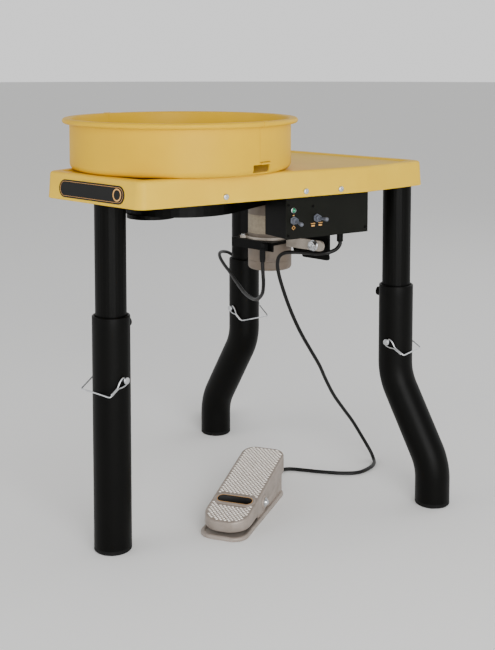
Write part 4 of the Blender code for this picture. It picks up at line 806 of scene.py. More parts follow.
PEDAL_ROUTE = (
    (0.2125, 0.4283, 0.5702), (0.2125, 0.4283, 0.5640), (0.2095, 0.4178, 0.5540),
    (0.1980, 0.4008, 0.5480), (0.1750, 0.3927, 0.5455), (0.1480, 0.3912, 0.5440),
    (0.1195, 0.3912, 0.5412), (0.0980, 0.3887, 0.5375), (0.0835, 0.3862, 0.5270),
    (0.0785, 0.3872, 0.5090), (0.0780, 0.3935, 0.4850), (0.0779, 0.4066, 0.4533),
    (0.0779, 0.4236, 0.4182), (0.0776, 0.4443, 0.3820), (0.0760, 0.4706, 0.3440),
    (0.0743, 0.5019, 0.3044), (0.0712, 0.5360, 0.2631), (0.0639, 0.5688, 0.2205),
    (0.0582, 0.6043, 0.1767), (0.0561, 0.6408, 0.1372), (0.0575, 0.6766, 0.0969),
    (0.0641, 0.7069, 0.0512), (0.0780, 0.7181, 0.0203), (0.0925, 0.7120, 0.0060),
    (0.1075, 0.6930, 0.0043), (0.1159, 0.6646, 0.0043), (0.1146, 0.6257, 0.0043),
    (0.0901, 0.5960, 0.0043), (0.0509, 0.5699, 0.0043), (0.0200, 0.5535, 0.0043),
    (-0.0080, 0.5380, 0.0043), (-0.0181, 0.5280, 0.0043), (-0.0224, 0.5144, 0.0043),
    (-0.0200, 0.5004, 0.0045), (-0.0120, 0.4821, 0.0080), (-0.0050, 0.4660, 0.0145),
    (0.0001, 0.4542, 0.0180), (0.0025, 0.4487, 0.0180),
)
MAINS_ROUTE = (
    (0.0420, 0.3805, 0.5115), (0.0425, 0.3805, 0.5000), (0.0425, 0.3818, 0.4830),
    (0.0400, 0.3858, 0.4630), (0.0230, 0.3997, 0.4370), (-0.0160, 0.4217, 0.4160),
    (-0.0730, 0.4507, 0.4150), (-0.1300, 0.4817, 0.4280), (-0.1740, 0.5048, 0.4420),
    (-0.2130, 0.5238, 0.4540), (-0.2420, 0.5398, 0.4650), (-0.2600, 0.5567, 0.4710),
    (-0.2730, 0.5817, 0.4700), (-0.2770, 0.6088, 0.4620), (-0.2760, 0.6367, 0.4400),
    (-0.2780, 0.6528, 0.4000), (-0.2830, 0.6578, 0.3300), (-0.2920, 0.6588, 0.2500),
    (-0.3040, 0.6588, 0.1700), (-0.3170, 0.6580, 0.1050), (-0.3245, 0.6555, 0.0640),
)


@dataclass
class Cords:
    """The pedal's cord, and the mains lead with its hank, tie and plug."""

    radius: float = 0.004
    pedal_length: float = 1.11
    mains_length: float = 1.85
    hank_x: float = -0.3955
    hank_setback: float = 0.6815
    hank_turn: float = 133.4
    run: float = 0.072
    fold: float = 0.024
    rise: float = 0.0082
    low: float = 0.0043
    landing: float = 0.0325
    tie_x: tuple[float, float] = (0.010, 0.019)
    tie_z: float = 0.0302
    plug_start: float = 0.005
    plug_y: float = -0.020
    plug_size: tuple[float, float, float] = (0.040, 0.027, 0.022)
    boot: float = 0.020
    route_spacing: float = 0.004

    @staticmethod
    def placed(route: Sequence[Sequence[float]]) -> np.ndarray:
        """Turn points given as x, setback and height into the row frame."""
        points = np.array(route, dtype=float)
        points[:, 1] += FRONT_LEG_Y
        return points

    def hank_frame(self) -> np.ndarray:
        """Matrix of the hank: X along its runs, on the floor."""
        return frame_matrix((self.hank_x, FRONT_LEG_Y + self.hank_setback, 0.0),
                            math.radians(self.hank_turn))

    def hank_path(self) -> np.ndarray:
        """Folds of the hank in its own frame, from the landing to the plug.

        The lead lands on a quarter circle, then runs round a stadium: two
        straight runs joined by half circles. Its height is the lowest one plus
        the rise times the number of laps, so each lap lies on the last one.
        The third lap's last fold is a little narrower and climbs to the plug.

        Returns:
            The points after the lead's last point, up to the plug's boot.
        """
        half, fold = self.run / 2, self.fold
        down = np.radians(np.linspace(-168, -100, 6))
        landing = np.stack([-half + self.landing * np.cos(down),
                            -fold - 0.007 * (1 + np.sin(down)) ** 0.5 - 0.0008,
                            self.low + self.landing * (1 + np.sin(down))], axis=-1)
        angle = np.linspace(-math.pi / 2, math.pi / 2, 11)[1:-1]
        far = np.stack([half + fold * np.cos(angle), fold * np.sin(angle)], axis=-1)
        run = np.linspace(-half, half, 6)
        out = np.stack([run, np.full(6, -fold)], axis=-1)
        back = np.stack([run[::-1], np.full(6, fold)], axis=-1)
        lap = np.concatenate([out, far, back, -far])
        flat = np.concatenate([lap, lap, lap[:-len(far)]])
        whole = 2 * self.run + math.tau * fold
        z = self.low + self.rise * travelled(flat) / whole
        laps = np.column_stack([flat, z])
        laps[-6:, 1] += np.linspace(0, 0.003, 6)
        middle, bend = (laps[-1, 1] + self.plug_y) / 2, (laps[-1, 1] - self.plug_y) / 2
        last = np.stack([-half - bend * np.cos(angle), middle - bend * np.sin(angle),
                         np.linspace(z[-1] + 0.0006, z[-1] + 0.0090, len(angle))], axis=-1)
        centre = self.tie_z + self.plug_size[2] / 2
        end = self.plug_start - self.boot
        final = [[-half, self.plug_y, z[-1] + 0.0103], [(end - half) / 2, self.plug_y,
                  z[-1] + 0.0122], [end + 0.002, self.plug_y, centre]]
        return np.concatenate([landing, laps, last, final])

    def build(self) -> None:
        pedal = smooth_route(self.placed(PEDAL_ROUTE), self.route_spacing)
        cord = make_piece("pedal_lead", tube(pedal, self.radius, 14, False), CORD_JACKET,
                          ROOT, ["pedal_cord"])
        lie = self.hank_frame()
        folds = self.hank_path() @ lie[:3, :3].T + lie[:3, 3]
        route = np.concatenate([self.placed(MAINS_ROUTE), folds])
        mains = smooth_route(route, self.route_spacing)
        LOG.info("mains lead %.3f m, pedal lead %.3f m", travelled(mains)[-1],
                 travelled(pedal)[-1])
        lead = make_piece("mains_lead", tube(mains, self.radius, 14, False), CORD_JACKET,
                          ROOT, ["mains_cord", "mains_hank"])
        tie, plug = self._tie(lie), self._plug(lie)

    def _tie(self, lie: np.ndarray) -> bpy.types.Object:
        """Strap round the hank: a rounded rectangle ring, 9 mm wide."""
        half = self.fold + self.radius + 0.0006
        outer_box = box_corners(-half, half, 0.0002, self.tie_z)
        outer = rounded_outline(outer_box, 0.006, 6)
        inner = rounded_outline(inset_corners(outer_box, 0.0009), 0.0051, 6)
        rows = [np.column_stack([np.full(len(ring), self.tie_x[end]), ring])
                for ring, end in ((outer, 0), (outer, 1), (inner, 1), (inner, 0))]
        return make_piece("lead_tie", grid_shell(np.array(rows), wrap_rows=True).moved(lie),
                          RUBBER, ROOT)

    def _plug(self, lie: np.ndarray) -> list[bpy.types.Object]:
        """Plug that lies on the tie: ribbed boot, waisted body and three blades.

        The body's section is a superellipse that widens along a sine, and the
        boot is a tapered tube with five ribs.
        """
        length, width, high = self.plug_size
        start, middle = self.plug_start, self.tie_z + high / 2 + 0.0002
        along = np.linspace(0, 1, 15)
        half_width = width / 2 * (0.55 + 0.45 * np.sin(along * math.pi / 2) ** 2)
        half_high = high / 2 * (0.62 + 0.38 * np.sin(along * math.pi / 2) ** 2)
        angle = np.linspace(0, math.tau, 36, endpoint=False)
        ring = np.stack([np.sign(np.cos(angle)) * np.abs(np.cos(angle)) ** 0.55,
                         np.sign(np.sin(angle)) * np.abs(np.sin(angle)) ** 0.55], axis=-1)
        x = np.broadcast_to((start + along * length)[:, None], (15, 36))
        body = np.stack([x, self.plug_y + half_width[:, None] * ring[None, :, 0],
                         middle + half_high[:, None] * ring[None, :, 1]], axis=-1)
        reach = np.linspace(0, self.boot + 0.001, 31)
        ribs = 0.0047 + 0.0022 * reach / self.boot + 0.0005 * np.sin(
            reach / self.boot * math.tau * 5)
        boot = tube(np.column_stack([start - self.boot + reach, np.full(31, self.plug_y),
                                     np.full(31, middle)]), ribs, 20, False)
        pieces = [make_piece("plug_body", Shell.joined(
            [grid_shell(body, caps=True), boot]).moved(lie), RUBBER, ROOT, ["mains_plug"])]
        face = start + length
        blades = [slab(box_corners(face - 0.002, face + 0.017, self.plug_y + y - 0.0008,
                                   self.plug_y + y + 0.0008), 0.0004, middle - 0.0032,
                       middle + 0.0032, 0.0003, 2) for y in (-0.0065, 0.0065)]
        pin = lathe(np.array([[0, -0.002], [0.0024, -0.002], [0.0024, 0.0150],
                              [0.0016, 0.0168], [0, 0.0170]]), 16, closed=False)
        blades.append(pin.moved(standing((face, self.plug_y, middle - 0.0068), (1, 0, 0))))
        pieces.append(make_piece("plug_blades", Shell.joined(blades).moved(lie), ZINC, ROOT))
        return pieces


@dataclass
class Table:
    """Moulded top with its flared skirt, screws and blank front plate."""

    top_z: float = 0.726
    skirt: float = 0.052
    wall: float = 0.004
    flare: float = 0.003
    lip: float = 0.024
    sink: float = 0.003
    corner: float = 0.022
    edge: float = 0.006
    corners: tuple[tuple[float, float], ...] = (
        (-0.138, -0.046), (0.138, -0.046), (0.266, 0.456), (0.276, 0.634),
        (0.235, 0.645), (-0.235, 0.645), (-0.276, 0.634), (-0.266, 0.456))
    plate: tuple[float, float] = (0.190, 0.034)
    screws: tuple[tuple[float, float], ...] = ((0.179, 0.687), (0.361, 0.6855), (0.446, 0.6845))

    def plan(self) -> list[tuple[float, float]]:
        """The table's corners in the row frame, at the skirt's lower edge."""
        return [(x, y + FRONT_LEG_Y) for x, y in self.corners]

    def levels(self) -> list[tuple[float, float]]:
        """Inset and height of each loop, from under the deck to the field.

        The skirt's foot and its upper edge are quarter circles, and the border
        falls to the field in a small S.
        """
        bottom, under = self.top_z - self.skirt, self.top_z - self.sink - self.wall
        turn = np.radians(np.linspace(0, 90, 7))
        lean = self.flare / (self.skirt - self.edge)
        outer = [(self.wall * 0.75, bottom), (self.wall * 0.3, bottom + 0.0002),
                 (0.0, bottom + 0.0012)]
        side = [(lean * (z - bottom), z) for z in
                np.linspace(bottom + 0.012, self.top_z - self.edge, 4)]
        top = [(self.flare + self.edge * (1 - math.cos(a)),
                self.top_z - self.edge + self.edge * math.sin(a)) for a in turn]
        fall = [(self.lip + 0.005 * t, self.top_z - self.sink * (3 * t * t - 2 * t ** 3))
                for t in np.linspace(0, 1, 7)]
        inner = [(self.wall + self.flare + 0.005, under), (self.wall + self.flare, under - 0.005),
                 (self.wall, bottom + 0.0008)]
        return inner + outer + side + top[1:] + fall

    def skirt_inset(self, z: float) -> float:
        """How far the flared skirt has come in at a height."""
        return self.flare * (z - self.top_z + self.skirt) / (self.skirt - self.edge)

    def build(self, frame: dict) -> None:
        """Make the top, the screws along both sides and the front plate."""
        loops = stacked(self.plan(), self.corner, self.levels(), 14, self.edge)
        make_piece("table_moulding", grid_shell(loops, caps=True), TABLE_YELLOW,
                   ROOT, ["table_top"], 50)
        heads = []
        start, end = np.array(self.plan()[1]), np.array(self.plan()[2])
        along = unit(end - start)
        for side in (1, -1):
            for distance, z in self.screws:
                place = start + along * distance
                outward = np.array([along[1] * side, -along[0], 0.0])
                sunk = self.skirt_inset(z) + 0.0002
                point = np.array([place[0] * side, place[1], z]) - outward * sunk
                heads.append(dome_screw(0.0062, 0.0036).moved(standing(point, outward)))
        make_piece("skirt_screws", Shell.joined(heads), ZINC, ROOT)
        self._front_plate()

    def _front_plate(self) -> None:
        """Blank stadium plate with a raised rim, leaning with the skirt."""
        length, height = self.plate
        lean = math.atan2(self.flare, self.skirt - self.edge)
        middle = self.top_z - self.skirt / 2 - 0.003
        place = standing((0, self.plan()[0][1] + self.skirt_inset(middle), middle),
                         (0, -math.cos(lean), math.sin(lean)), (1, 0, 0))
        corners = box_corners(-length / 2, length / 2, -height / 2, height / 2)
        radius = height / 2 - 0.0003
        loops = stacked(corners, radius, (
            (0.0, 0.0002), (0.0, 0.0012), (0.0004, 0.0017), (0.0016, 0.0019),
            (0.0026, 0.0016), (0.0030, 0.0011)), 16)
        make_piece("front_plate", grid_shell(loops, caps=True).moved(place),
                   BADGE_BLACK, ROOT, ["nameplate"], 30)
        band = np.array([[0.0092, 0.0010], [0.0118, 0.0010], [0.0118, 0.00135],
                         [0.0092, 0.00135]])
        ring = lathe(band, 48)
        ring.points += np.array([length / 2 - 0.020, 0.0, 0.0])
        line = grid_shell(stacked(corners, radius, (
            (0.0030, 0.0010), (0.0030, 0.0014), (0.0036, 0.0014), (0.0036, 0.0010)), 16),
            wrap_rows=True)
        make_piece("front_plate_marks", Shell.joined([ring, line]).moved(place), MARK_INK,
                   ROOT)


@dataclass
class SplashPan:
    """Round pan in two halves, with a rolled rim that laps at the seam."""

    radius: float = 0.220
    rim_radius: float = 0.234
    rim_z: float = 0.827
    rim_height: float = 0.0105
    base_z: float = 0.7263
    wall: float = 0.003
    corner: float = 0.012
    collar: float = 0.042
    collar_z: float = 0.748
    seam: float = -0.005
    slot_top: float = 0.7445
    gap: float = 0.0003

    def section(self) -> np.ndarray:
        """Closed radius and height section: floor, wall, rolled rim and back.

        The wall's foot is a quarter circle, and the rim is a flattened roll
        whose outer side is half an ellipse.
        """
        base, wall, top = self.base_z, self.wall, self.rim_z
        foot = arc((self.radius - self.corner, base + self.corner), self.corner, -90, 0, 8)
        low = top - self.rim_height
        angle = np.radians(np.linspace(-90, 90, 13))
        roll = np.stack([self.rim_radius - 0.0055 + 0.0055 * np.cos(angle),
                         (top + low) / 2 + self.rim_height / 2 * np.sin(angle)], axis=-1)
        neck = np.array([[self.radius, low - 0.003], [self.radius + 0.0006, low - 0.0006],
                         [self.radius + 0.002, low]])
        brow = np.array([[self.radius + 0.002, top - 0.0002],
                         [self.radius - wall + 0.0012, top - 0.0012],
                         [self.radius - wall, top - 0.004]])
        inner = arc((self.radius - self.corner, base + self.corner), self.corner - wall, 0,
                    -90, 8)
        collar = np.array([[self.collar + wall + 0.002, base + wall],
                           [self.collar + wall, base + wall + 0.002],
                           [self.collar + wall, self.collar_z - 0.001],
                           [self.collar + wall / 2, self.collar_z],
                           [self.collar, self.collar_z - 0.001], [self.collar, base]])
        levels = np.linspace(0.2, 0.8, 4)[:, None]
        side = np.concatenate([np.full((4, 1), self.radius),
                               base + self.corner + levels * (low - 0.003 - base - self.corner)],
                              axis=1)
        inside = side[::-1] - np.array([wall, 0.0])
        return np.concatenate([foot, side, neck, roll, brow, inside, inner, collar])

    def half(self, rear: bool) -> Shell:
        """One half: the section turned from seam to seam.

        At radius r the seam lies at the angle whose sine is its distance from
        the axis over r, so both ends are flat.

        Args:
            rear: Whether it is the rear half.

        Returns:
            The closed half.
        """
        section = self.section()
        offset = self.seam + (self.gap if rear else -self.gap)
        limit = np.arcsin(np.clip(offset / section[:, 0], -1, 1))
        start, end = limit, math.pi - limit
        if not rear:
            start, end = math.pi - limit, math.tau + limit
        share = np.linspace(0, 1, 97)[None, :]
        angle = start[:, None] + (end - start)[:, None] * share
        grid = turned(section[:, :1], angle, section[:, 1:])
        shell = grid_shell(grid, wrap_rows=True, wrap_columns=False)
        count = grid.shape[1]
        first = [k * count for k in range(len(section))]
        shell.faces += [first, [k + count - 1 for k in first][::-1]]
        return shell

    def build(self, frame: dict) -> None:
        """Make both halves, cut the latch openings, and add ledges and rim laps."""
        for name, rear, body, node in (
                ("pan_front_half", False, "front_pan_half", "splash_pan_front"),
                ("pan_rear_half", True, "rear_pan_half", "splash_pan_rear")):
            half = make_piece(name, self.half(rear), PAN_YELLOW, body, [node], 40)
            self._cut(half, self._latch_cutters())
        self._ledges()
        self._laps()

    def _latch_cutters(self) -> Shell:
        """Blocks that open the foot of the wall beside the seam, on both sides."""
        y = WHEEL_Y + self.seam
        parts = []
        for side in (-1, 1):
            x0, x1 = sorted((side * (self.radius - 0.009), side * (self.radius + 0.010)))
            parts.append(slab(box_corners(x0, x1, y - 0.0165, y + 0.028), 0.0008,
                              self.base_z + 0.0012, self.slot_top + 0.001, 0.0003, 3))
            parts.append(slab(box_corners(x0, x1, y + 0.0004, y + 0.030), 0.0004,
                              self.slot_top + 0.0050, self.slot_top + 0.0066, 0.0003, 3))
        return Shell.joined(parts)

    @staticmethod
    def _cut(piece: bpy.types.Object, cutter: Shell) -> None:
        """Take a cutter's space out of a piece for good.

        Args:
            piece: The piece.
            cutter: The space to take away.
        """
        tool = make_piece("cutter", cutter, PAN_YELLOW, ROOT)
        step = piece.modifiers.new("cut", "BOOLEAN")
        step.operation, step.solver, step.object = "DIFFERENCE", "EXACT", tool
        graph = bpy.context.evaluated_depsgraph_get()
        mesh = bpy.data.meshes.new_from_object(piece.evaluated_get(graph))
        piece.modifiers.clear()
        old, piece.data = piece.data, mesh
        mesh.name = old.name + "_cut"
        bpy.data.meshes.remove(old)
        bpy.data.objects.remove(tool)
        mesh.set_sharp_from_angle(angle=math.radians(40))

    def _ledges(self) -> None:
        """Ledge over each latch opening, which follows the wall round the wheel's axis."""
        ledge = np.array([[-0.0040, 0.0012], [0.0034, 0.0012], [0.0042, 0.0020],
                          [0.0042, 0.0036], [0.0034, 0.0046], [-0.0040, 0.0048]])
        parts = [self._band(ledge, 0.0015, 0.0290, side) for side in (1, -1)]
        make_piece("latch_ledges", Shell.joined(parts), PAN_YELLOW, "rear_pan_half")

    def _band(self, section: np.ndarray, start: float, end: float, side: int) -> Shell:
        """A short band along the wall beside a seam.

        Args:
            section: Points as distance out from the wall and height over the opening.
            start: Where it starts along the wall from the seam, towards the rear.
            end: Where it ends.
            side: 1 for the seam at +X and -1 for the one at -X.

        Returns:
            The closed band.
        """
        angle = (np.linspace(start, end, 11) + self.seam) / self.radius
        angle = angle if side == 1 else math.pi - angle
        grid = turned(self.radius + section[:, 0], angle[:, None],
                      self.slot_top + section[:, 1])
        return grid_shell(grid, caps=True)

    def _laps(self) -> None:
        """Ends of the front rim that close over the rear one, cut at a slant."""
        parts = []
        turn = np.linspace(-0.0025, 0.0090, 8)[:, None]
        around = np.radians(np.linspace(-110, 110, 15))
        radial = self.rim_radius - 0.0062 + 0.0074 * np.cos(around)
        height = (self.rim_z - self.rim_height / 2
                  + (self.rim_height / 2 + 0.0009) * np.sin(around))
        slant = np.sin(around) * 0.0022 * np.clip(turn / 0.009, 0, 1)
        angle = (turn + slant + self.seam) / self.rim_radius
        for way in (angle, math.pi - angle):
            parts.append(grid_shell(turned(radial, way, height), caps=True))
        make_piece("rim_laps", Shell.joined(parts), PAN_YELLOW, "front_pan_half", sharp=45)


@dataclass
class Leg:
    """One leg: its sliding tube, clamp bolt, lock pin and wire keeper."""

    name: str
    x: float
    setback: float
    splay: int
    pin_turn: float
    bolt_turn: float
    hang: float
    upper_r: float = 0.03015
    outer: float = 0.0365
    inner: float = 0.03135
    top_z: float = 0.458
    pin_z: float = 0.338
    clamp_z: float = 0.437
    bend_z: float = 0.290
    bend: float = 29.5
    bend_r: float = 0.120
    reach: float = 0.099
    foot: float = 0.0083
    wire: float = 0.0015

    def path(self) -> np.ndarray:
        """Centre line: straight, an arc out, a slanted run, an arc back, straight.

        Returns:
            Distance outwards and height of each point, as n by 2.
        """
        if self.splay == 0:
            return np.column_stack([np.zeros(20), np.linspace(self.top_z, self.foot, 20)])
        turn = np.radians(np.linspace(0, self.bend, 15))
        out = self.bend_r * (1 - np.cos(turn))
        down = self.bend_r * np.sin(turn)
        run = self.reach - 2 * out[-1]
        second = self.bend_z - down[-1] - run / math.tan(math.radians(self.bend)) - down[-1]
        upper = np.column_stack([np.zeros(8), np.linspace(self.top_z, self.bend_z, 9)[:-1]])
        first = np.column_stack([out, self.bend_z - down])
        back = np.column_stack([self.reach - out[::-1], second + down[::-1]])
        middle = first[-1] + (back[0] - first[-1]) * np.linspace(0, 1, 6)[1:-1, None]
        lower = np.column_stack([np.full(4, self.reach), np.linspace(second, self.foot, 5)[1:]])
        return np.concatenate([upper, first, middle, back, lower])

    def tube_shell(self) -> Shell:
        """The sliding tube: outer skin down, lower edge, inner skin up, rounded lip."""
        path = self.path()
        side = self.splay if self.splay else 1
        centre = np.column_stack([self.x + side * path[:, 0],
                                  np.full(len(path), FRONT_LEG_Y + self.setback), path[:, 1]])
        along = unit(np.gradient(path, axis=0))
        across = np.column_stack([-along[:, 1] * side, np.zeros(len(path)), along[:, 0]])
        angle = np.linspace(0, math.tau, 72, endpoint=False)
        ring = (across[:, None, :] * np.cos(angle)[None, :, None]
                + np.array([0, 1.0, 0]) * np.sin(angle)[None, :, None])
        skin = centre[:, None, :] + ring * self.outer
        bore = centre[:, None, :] + ring * self.inner
        lip = []
        middle, thick = (self.outer + self.inner) / 2, (self.outer - self.inner) / 2
        for degrees in np.linspace(0, 180, 9):
            a = math.radians(degrees)
            radius = middle + thick * math.cos(a)
            lift = np.array([0, 0, thick * math.sin(a) - thick])
            lip.append(centre[0] + lift + ring[0] * radius)
        skin[0] += np.array([0, 0, -thick])
        bore[0] += np.array([0, 0, -thick])
        rows = np.concatenate([skin, bore[::-1], np.array(lip)[::-1][1:-1]])
        return grid_shell(rows, wrap_rows=True)

    def build(self, frame: dict) -> None:
        """Make the tube, the clamp bolt, the pin and its keeper, and dress the rest."""
        body = f"sliding_leg_{self.name}"
        base = np.array([self.x, FRONT_LEG_Y + self.setback, 0.0])
        make_piece(f"leg_tube_{self.name}", self.tube_shell(), BLACK_ENAMEL, body,
                   [f"lower_leg_{self.name}"], 45)
        dress(frame, BLACK_ENAMEL, f"upper_leg_{self.name}")
        dress(frame, RUBBER, f"foot_{self.name}")
        turn = math.radians(self.bolt_turn)
        way = np.array([math.cos(turn), math.sin(turn), 0.0])
        stand = standing(base + [0, 0, self.clamp_z], way)
        boss = np.concatenate([[[0, self.upper_r + 0.0006], [0.0092, self.upper_r + 0.0030]],
                               [[0.0096, self.outer - 0.001], [0.0094, self.outer + 0.0070]],
                               arc((0.0074, self.outer + 0.0070), 0.0020, 10, 90, 4),
                               [[0.0052, self.outer + 0.0090], [0, self.outer + 0.0090]]])
        make_piece(f"clamp_boss_{self.name}", lathe(boss, 28, False).moved(stand),
                   BLACK_ENAMEL, body, [f"clamp_bolt_{self.name}"])
        screw = dome_screw(0.0050, 0.0026).moved(standing(
            base + [0, 0, self.clamp_z] + way * (self.outer + 0.0088), way))
        make_piece(f"clamp_screw_{self.name}", screw, ZINC, body)
        self._pin(base)

    def _pin(self, base: np.ndarray) -> None:
        """Lock pin with a disc head, and the wire bail that hinges in it.

        In the keeper's plane X runs along the pin and Y the way that it hangs.
        Its two strands start in the pin's cross hole, pass either side of the
        neck in a drop shape, run together to the first corner, and one of them
        goes on as the crossbar and back to the pin's tip.
        """
        turn, hang = math.radians(self.pin_turn), math.radians(self.hang)
        way = np.array([math.cos(turn), math.sin(turn), 0.0])
        side = np.array([-way[1], way[0], 0.0])
        down = side * math.cos(hang) + np.array([0, 0, 1.0]) * math.sin(hang)
        centre = base + [0, 0, self.pin_z]
        head = self.outer + 0.0052
        profile = np.concatenate([[[0, -self.outer - 0.010], [0.0036, -self.outer - 0.010],
                                   [0.00475, -self.outer - 0.008], [0.00475, head]],
                                  arc((0.0060, head + 0.0007), 0.0007, -90, 0, 3),
                                  arc((0.0060, head + 0.0027), 0.0007, 0, 90, 3),
                                  [[0, head + 0.0034]]])
        make_piece(f"hitch_pin_{self.name}",
                   lathe(profile, 32, False).moved(standing(centre, way)), ZINC,
                   f"pin_{self.name}", [f"lock_pin_{self.name}"])
        plane = np.eye(4)
        plane[:3, 0], plane[:3, 1], plane[:3, 2] = way, down, np.cross(way, down)
        plane[:3, 3] = centre
        x, low, tip = 0.0393, 0.0454, -self.outer - 0.0075
        strand = [(x, 0, 0.0035), (x, 0, 0.0068), (x, 0.0012, 0.0080), (x, 0.0060, 0.0082),
                  (x, 0.0125, 0.0060), (x, 0.0180, 0.0030), (x, 0.0220, 0.0015),
                  (x, 0.0300, 0.0013), (x, 0.0400, 0.0013)]
        bar = [(x - 0.0006, low - 0.0022, 0.0010), (x - 0.0035, low, 0.0005), (0.015, low, 0),
               (-0.015, low, 0), (tip + 0.0035, low, 0), (tip + 0.0006, low - 0.0022, 0),
               (tip, low - 0.006, 0), (tip, 0.022, 0), (tip, 0.0073, 0)]
        first = smooth_route(strand + bar, 0.0016)
        second = smooth_route([(a, b, -c) for a, b, c in strand], 0.0016)
        wires = Shell.joined([tube(first, self.wire, 10), tube(second, self.wire, 10)])
        make_piece(f"wire_bail_{self.name}", wires.moved(plane), ZINC,
                   f"keeper_{self.name}", [f"pin_keeper_{self.name}"], 60)


@dataclass
class Wheel:
    """Wheel head, shaft, bearings and the driven pulley."""

    def build(self, frame: dict) -> None:
        """Dress the nodes, whose turned shapes are right as they are."""
        dress(frame, TURNED_ALUMINIUM, "wheel_head", "driven_pulley")
        dress(frame, GROUND_STEEL, "wheel_shaft", "bearing_lower", "bearing_upper")
        dress(frame, BLACK_ENAMEL, "bearing_housing", "bearing_plate")


@dataclass
class Drive:
    """Motor with its label and end ring, the shelf, the guard and the belt."""

    motor_r: float = 0.0475
    bottom_z: float = 0.485
    top_z: float = 0.632
    label_z: tuple[float, float] = (0.566, 0.606)

    def build(self, frame: dict) -> None:
        """Make the motor's can, label and bolts, and dress the rest."""
        r, low, high = self.motor_r, self.bottom_z, self.top_z
        skin = np.concatenate([
            [[0, low + 0.002], [0.020, low + 0.002], [0.022, low]],
            arc((r - 0.008, low + 0.008), 0.008, -90, 0, 8),
            [[r, low + 0.020], [r - 0.0006, low + 0.0206], [r - 0.0006, low + 0.0216],
             [r, low + 0.022], [r, high - 0.014]],
            arc((r - 0.010, high - 0.010), 0.010, 10, 90, 6),
            [[0.0064, high], [0.0064, high - 0.030], [0, high - 0.030]]])
        axis = frame_matrix((0, MOTOR_Y, 0), 0)
        make_piece("motor_can", lathe(skin, 72, False).moved(axis), MOTOR_PAINT, ROOT,
                   ["motor_body"])
        angle = np.radians(np.linspace(-132, -20, 40))
        z0, z1 = self.label_z
        radii = np.array([r - 0.0005, r + 0.0003, r + 0.0003, r - 0.0005])
        heights = np.array([z0, z0, z1, z1])
        grid = turned(radii, angle[:, None], heights, MOTOR_Y)
        make_piece("motor_label", grid_shell(grid, caps=True), LABEL, ROOT)
        dress(frame, DIE_CAST, "motor_flange", "belt_tension_arm")
        dress(frame, BLACK_ENAMEL, "motor_shelf", "belt_guard", "frame_rail_left",
              "frame_rail_right", "frame_front_plate", "frame_motor_crossbar",
              "frame_rear_crossbar")
        foot = slab(box_corners(0.082, 0.155, 0.5178, 0.5300), 0.005, 0.0, 0.006, 0.0008, 6)
        make_piece("hanger_foot", foot.moved(standing(
            (0, FRONT_LEG_Y + 0.468, 0), (0, -1, 0), (1, 0, 0))), BLACK_ENAMEL, ROOT)
        dress(frame, ZINC, "motor_pulley")
        dress(frame, RUBBER, "drive_belt", "mains_gland", "pedal_strain_relief")
        self._bolts()

    def _bolts(self) -> None:
        """Hexagonal tension bolt with its washer, and screws in the ring's ears."""
        face = FRONT_LEG_Y + 0.439 - 0.003
        stand = standing((0.136, face, 0.552), (0, -1, 0), (0.3, 0, 1))
        washer = lathe(np.array([[0, 0.0001], [0.0118, 0.0001], [0.0120, 0.0010],
                                 [0.0112, 0.0018], [0, 0.0018]]), 32, False)
        shank = lathe(np.array([[0, -0.045], [0.0042, -0.045], [0.0042, 0.001],
                                [0, 0.001]]), 20, False)
        star = dome_screw(0.0060, 0.0016).moved(standing((0, 0, 0.0078), (0, 0, 1)))
        bolt = Shell.joined([washer, shank, hexagon(0.0102, 0.0016, 0.0080), star])
        make_piece("tension_bolt", bolt.moved(stand), ZINC, ROOT, ["belt_tension_bolt"])
        heads = []
        for degrees in (-128, 52):
            a = math.radians(degrees)
            point = (0.058 * math.cos(a), MOTOR_Y + 0.058 * math.sin(a), 0.5590)
            heads.append(dome_screw(0.0050, 0.0030).moved(standing(point, (0, 0, 1))))
        make_piece("ring_screws", Shell.joined(heads), ZINC, ROOT)


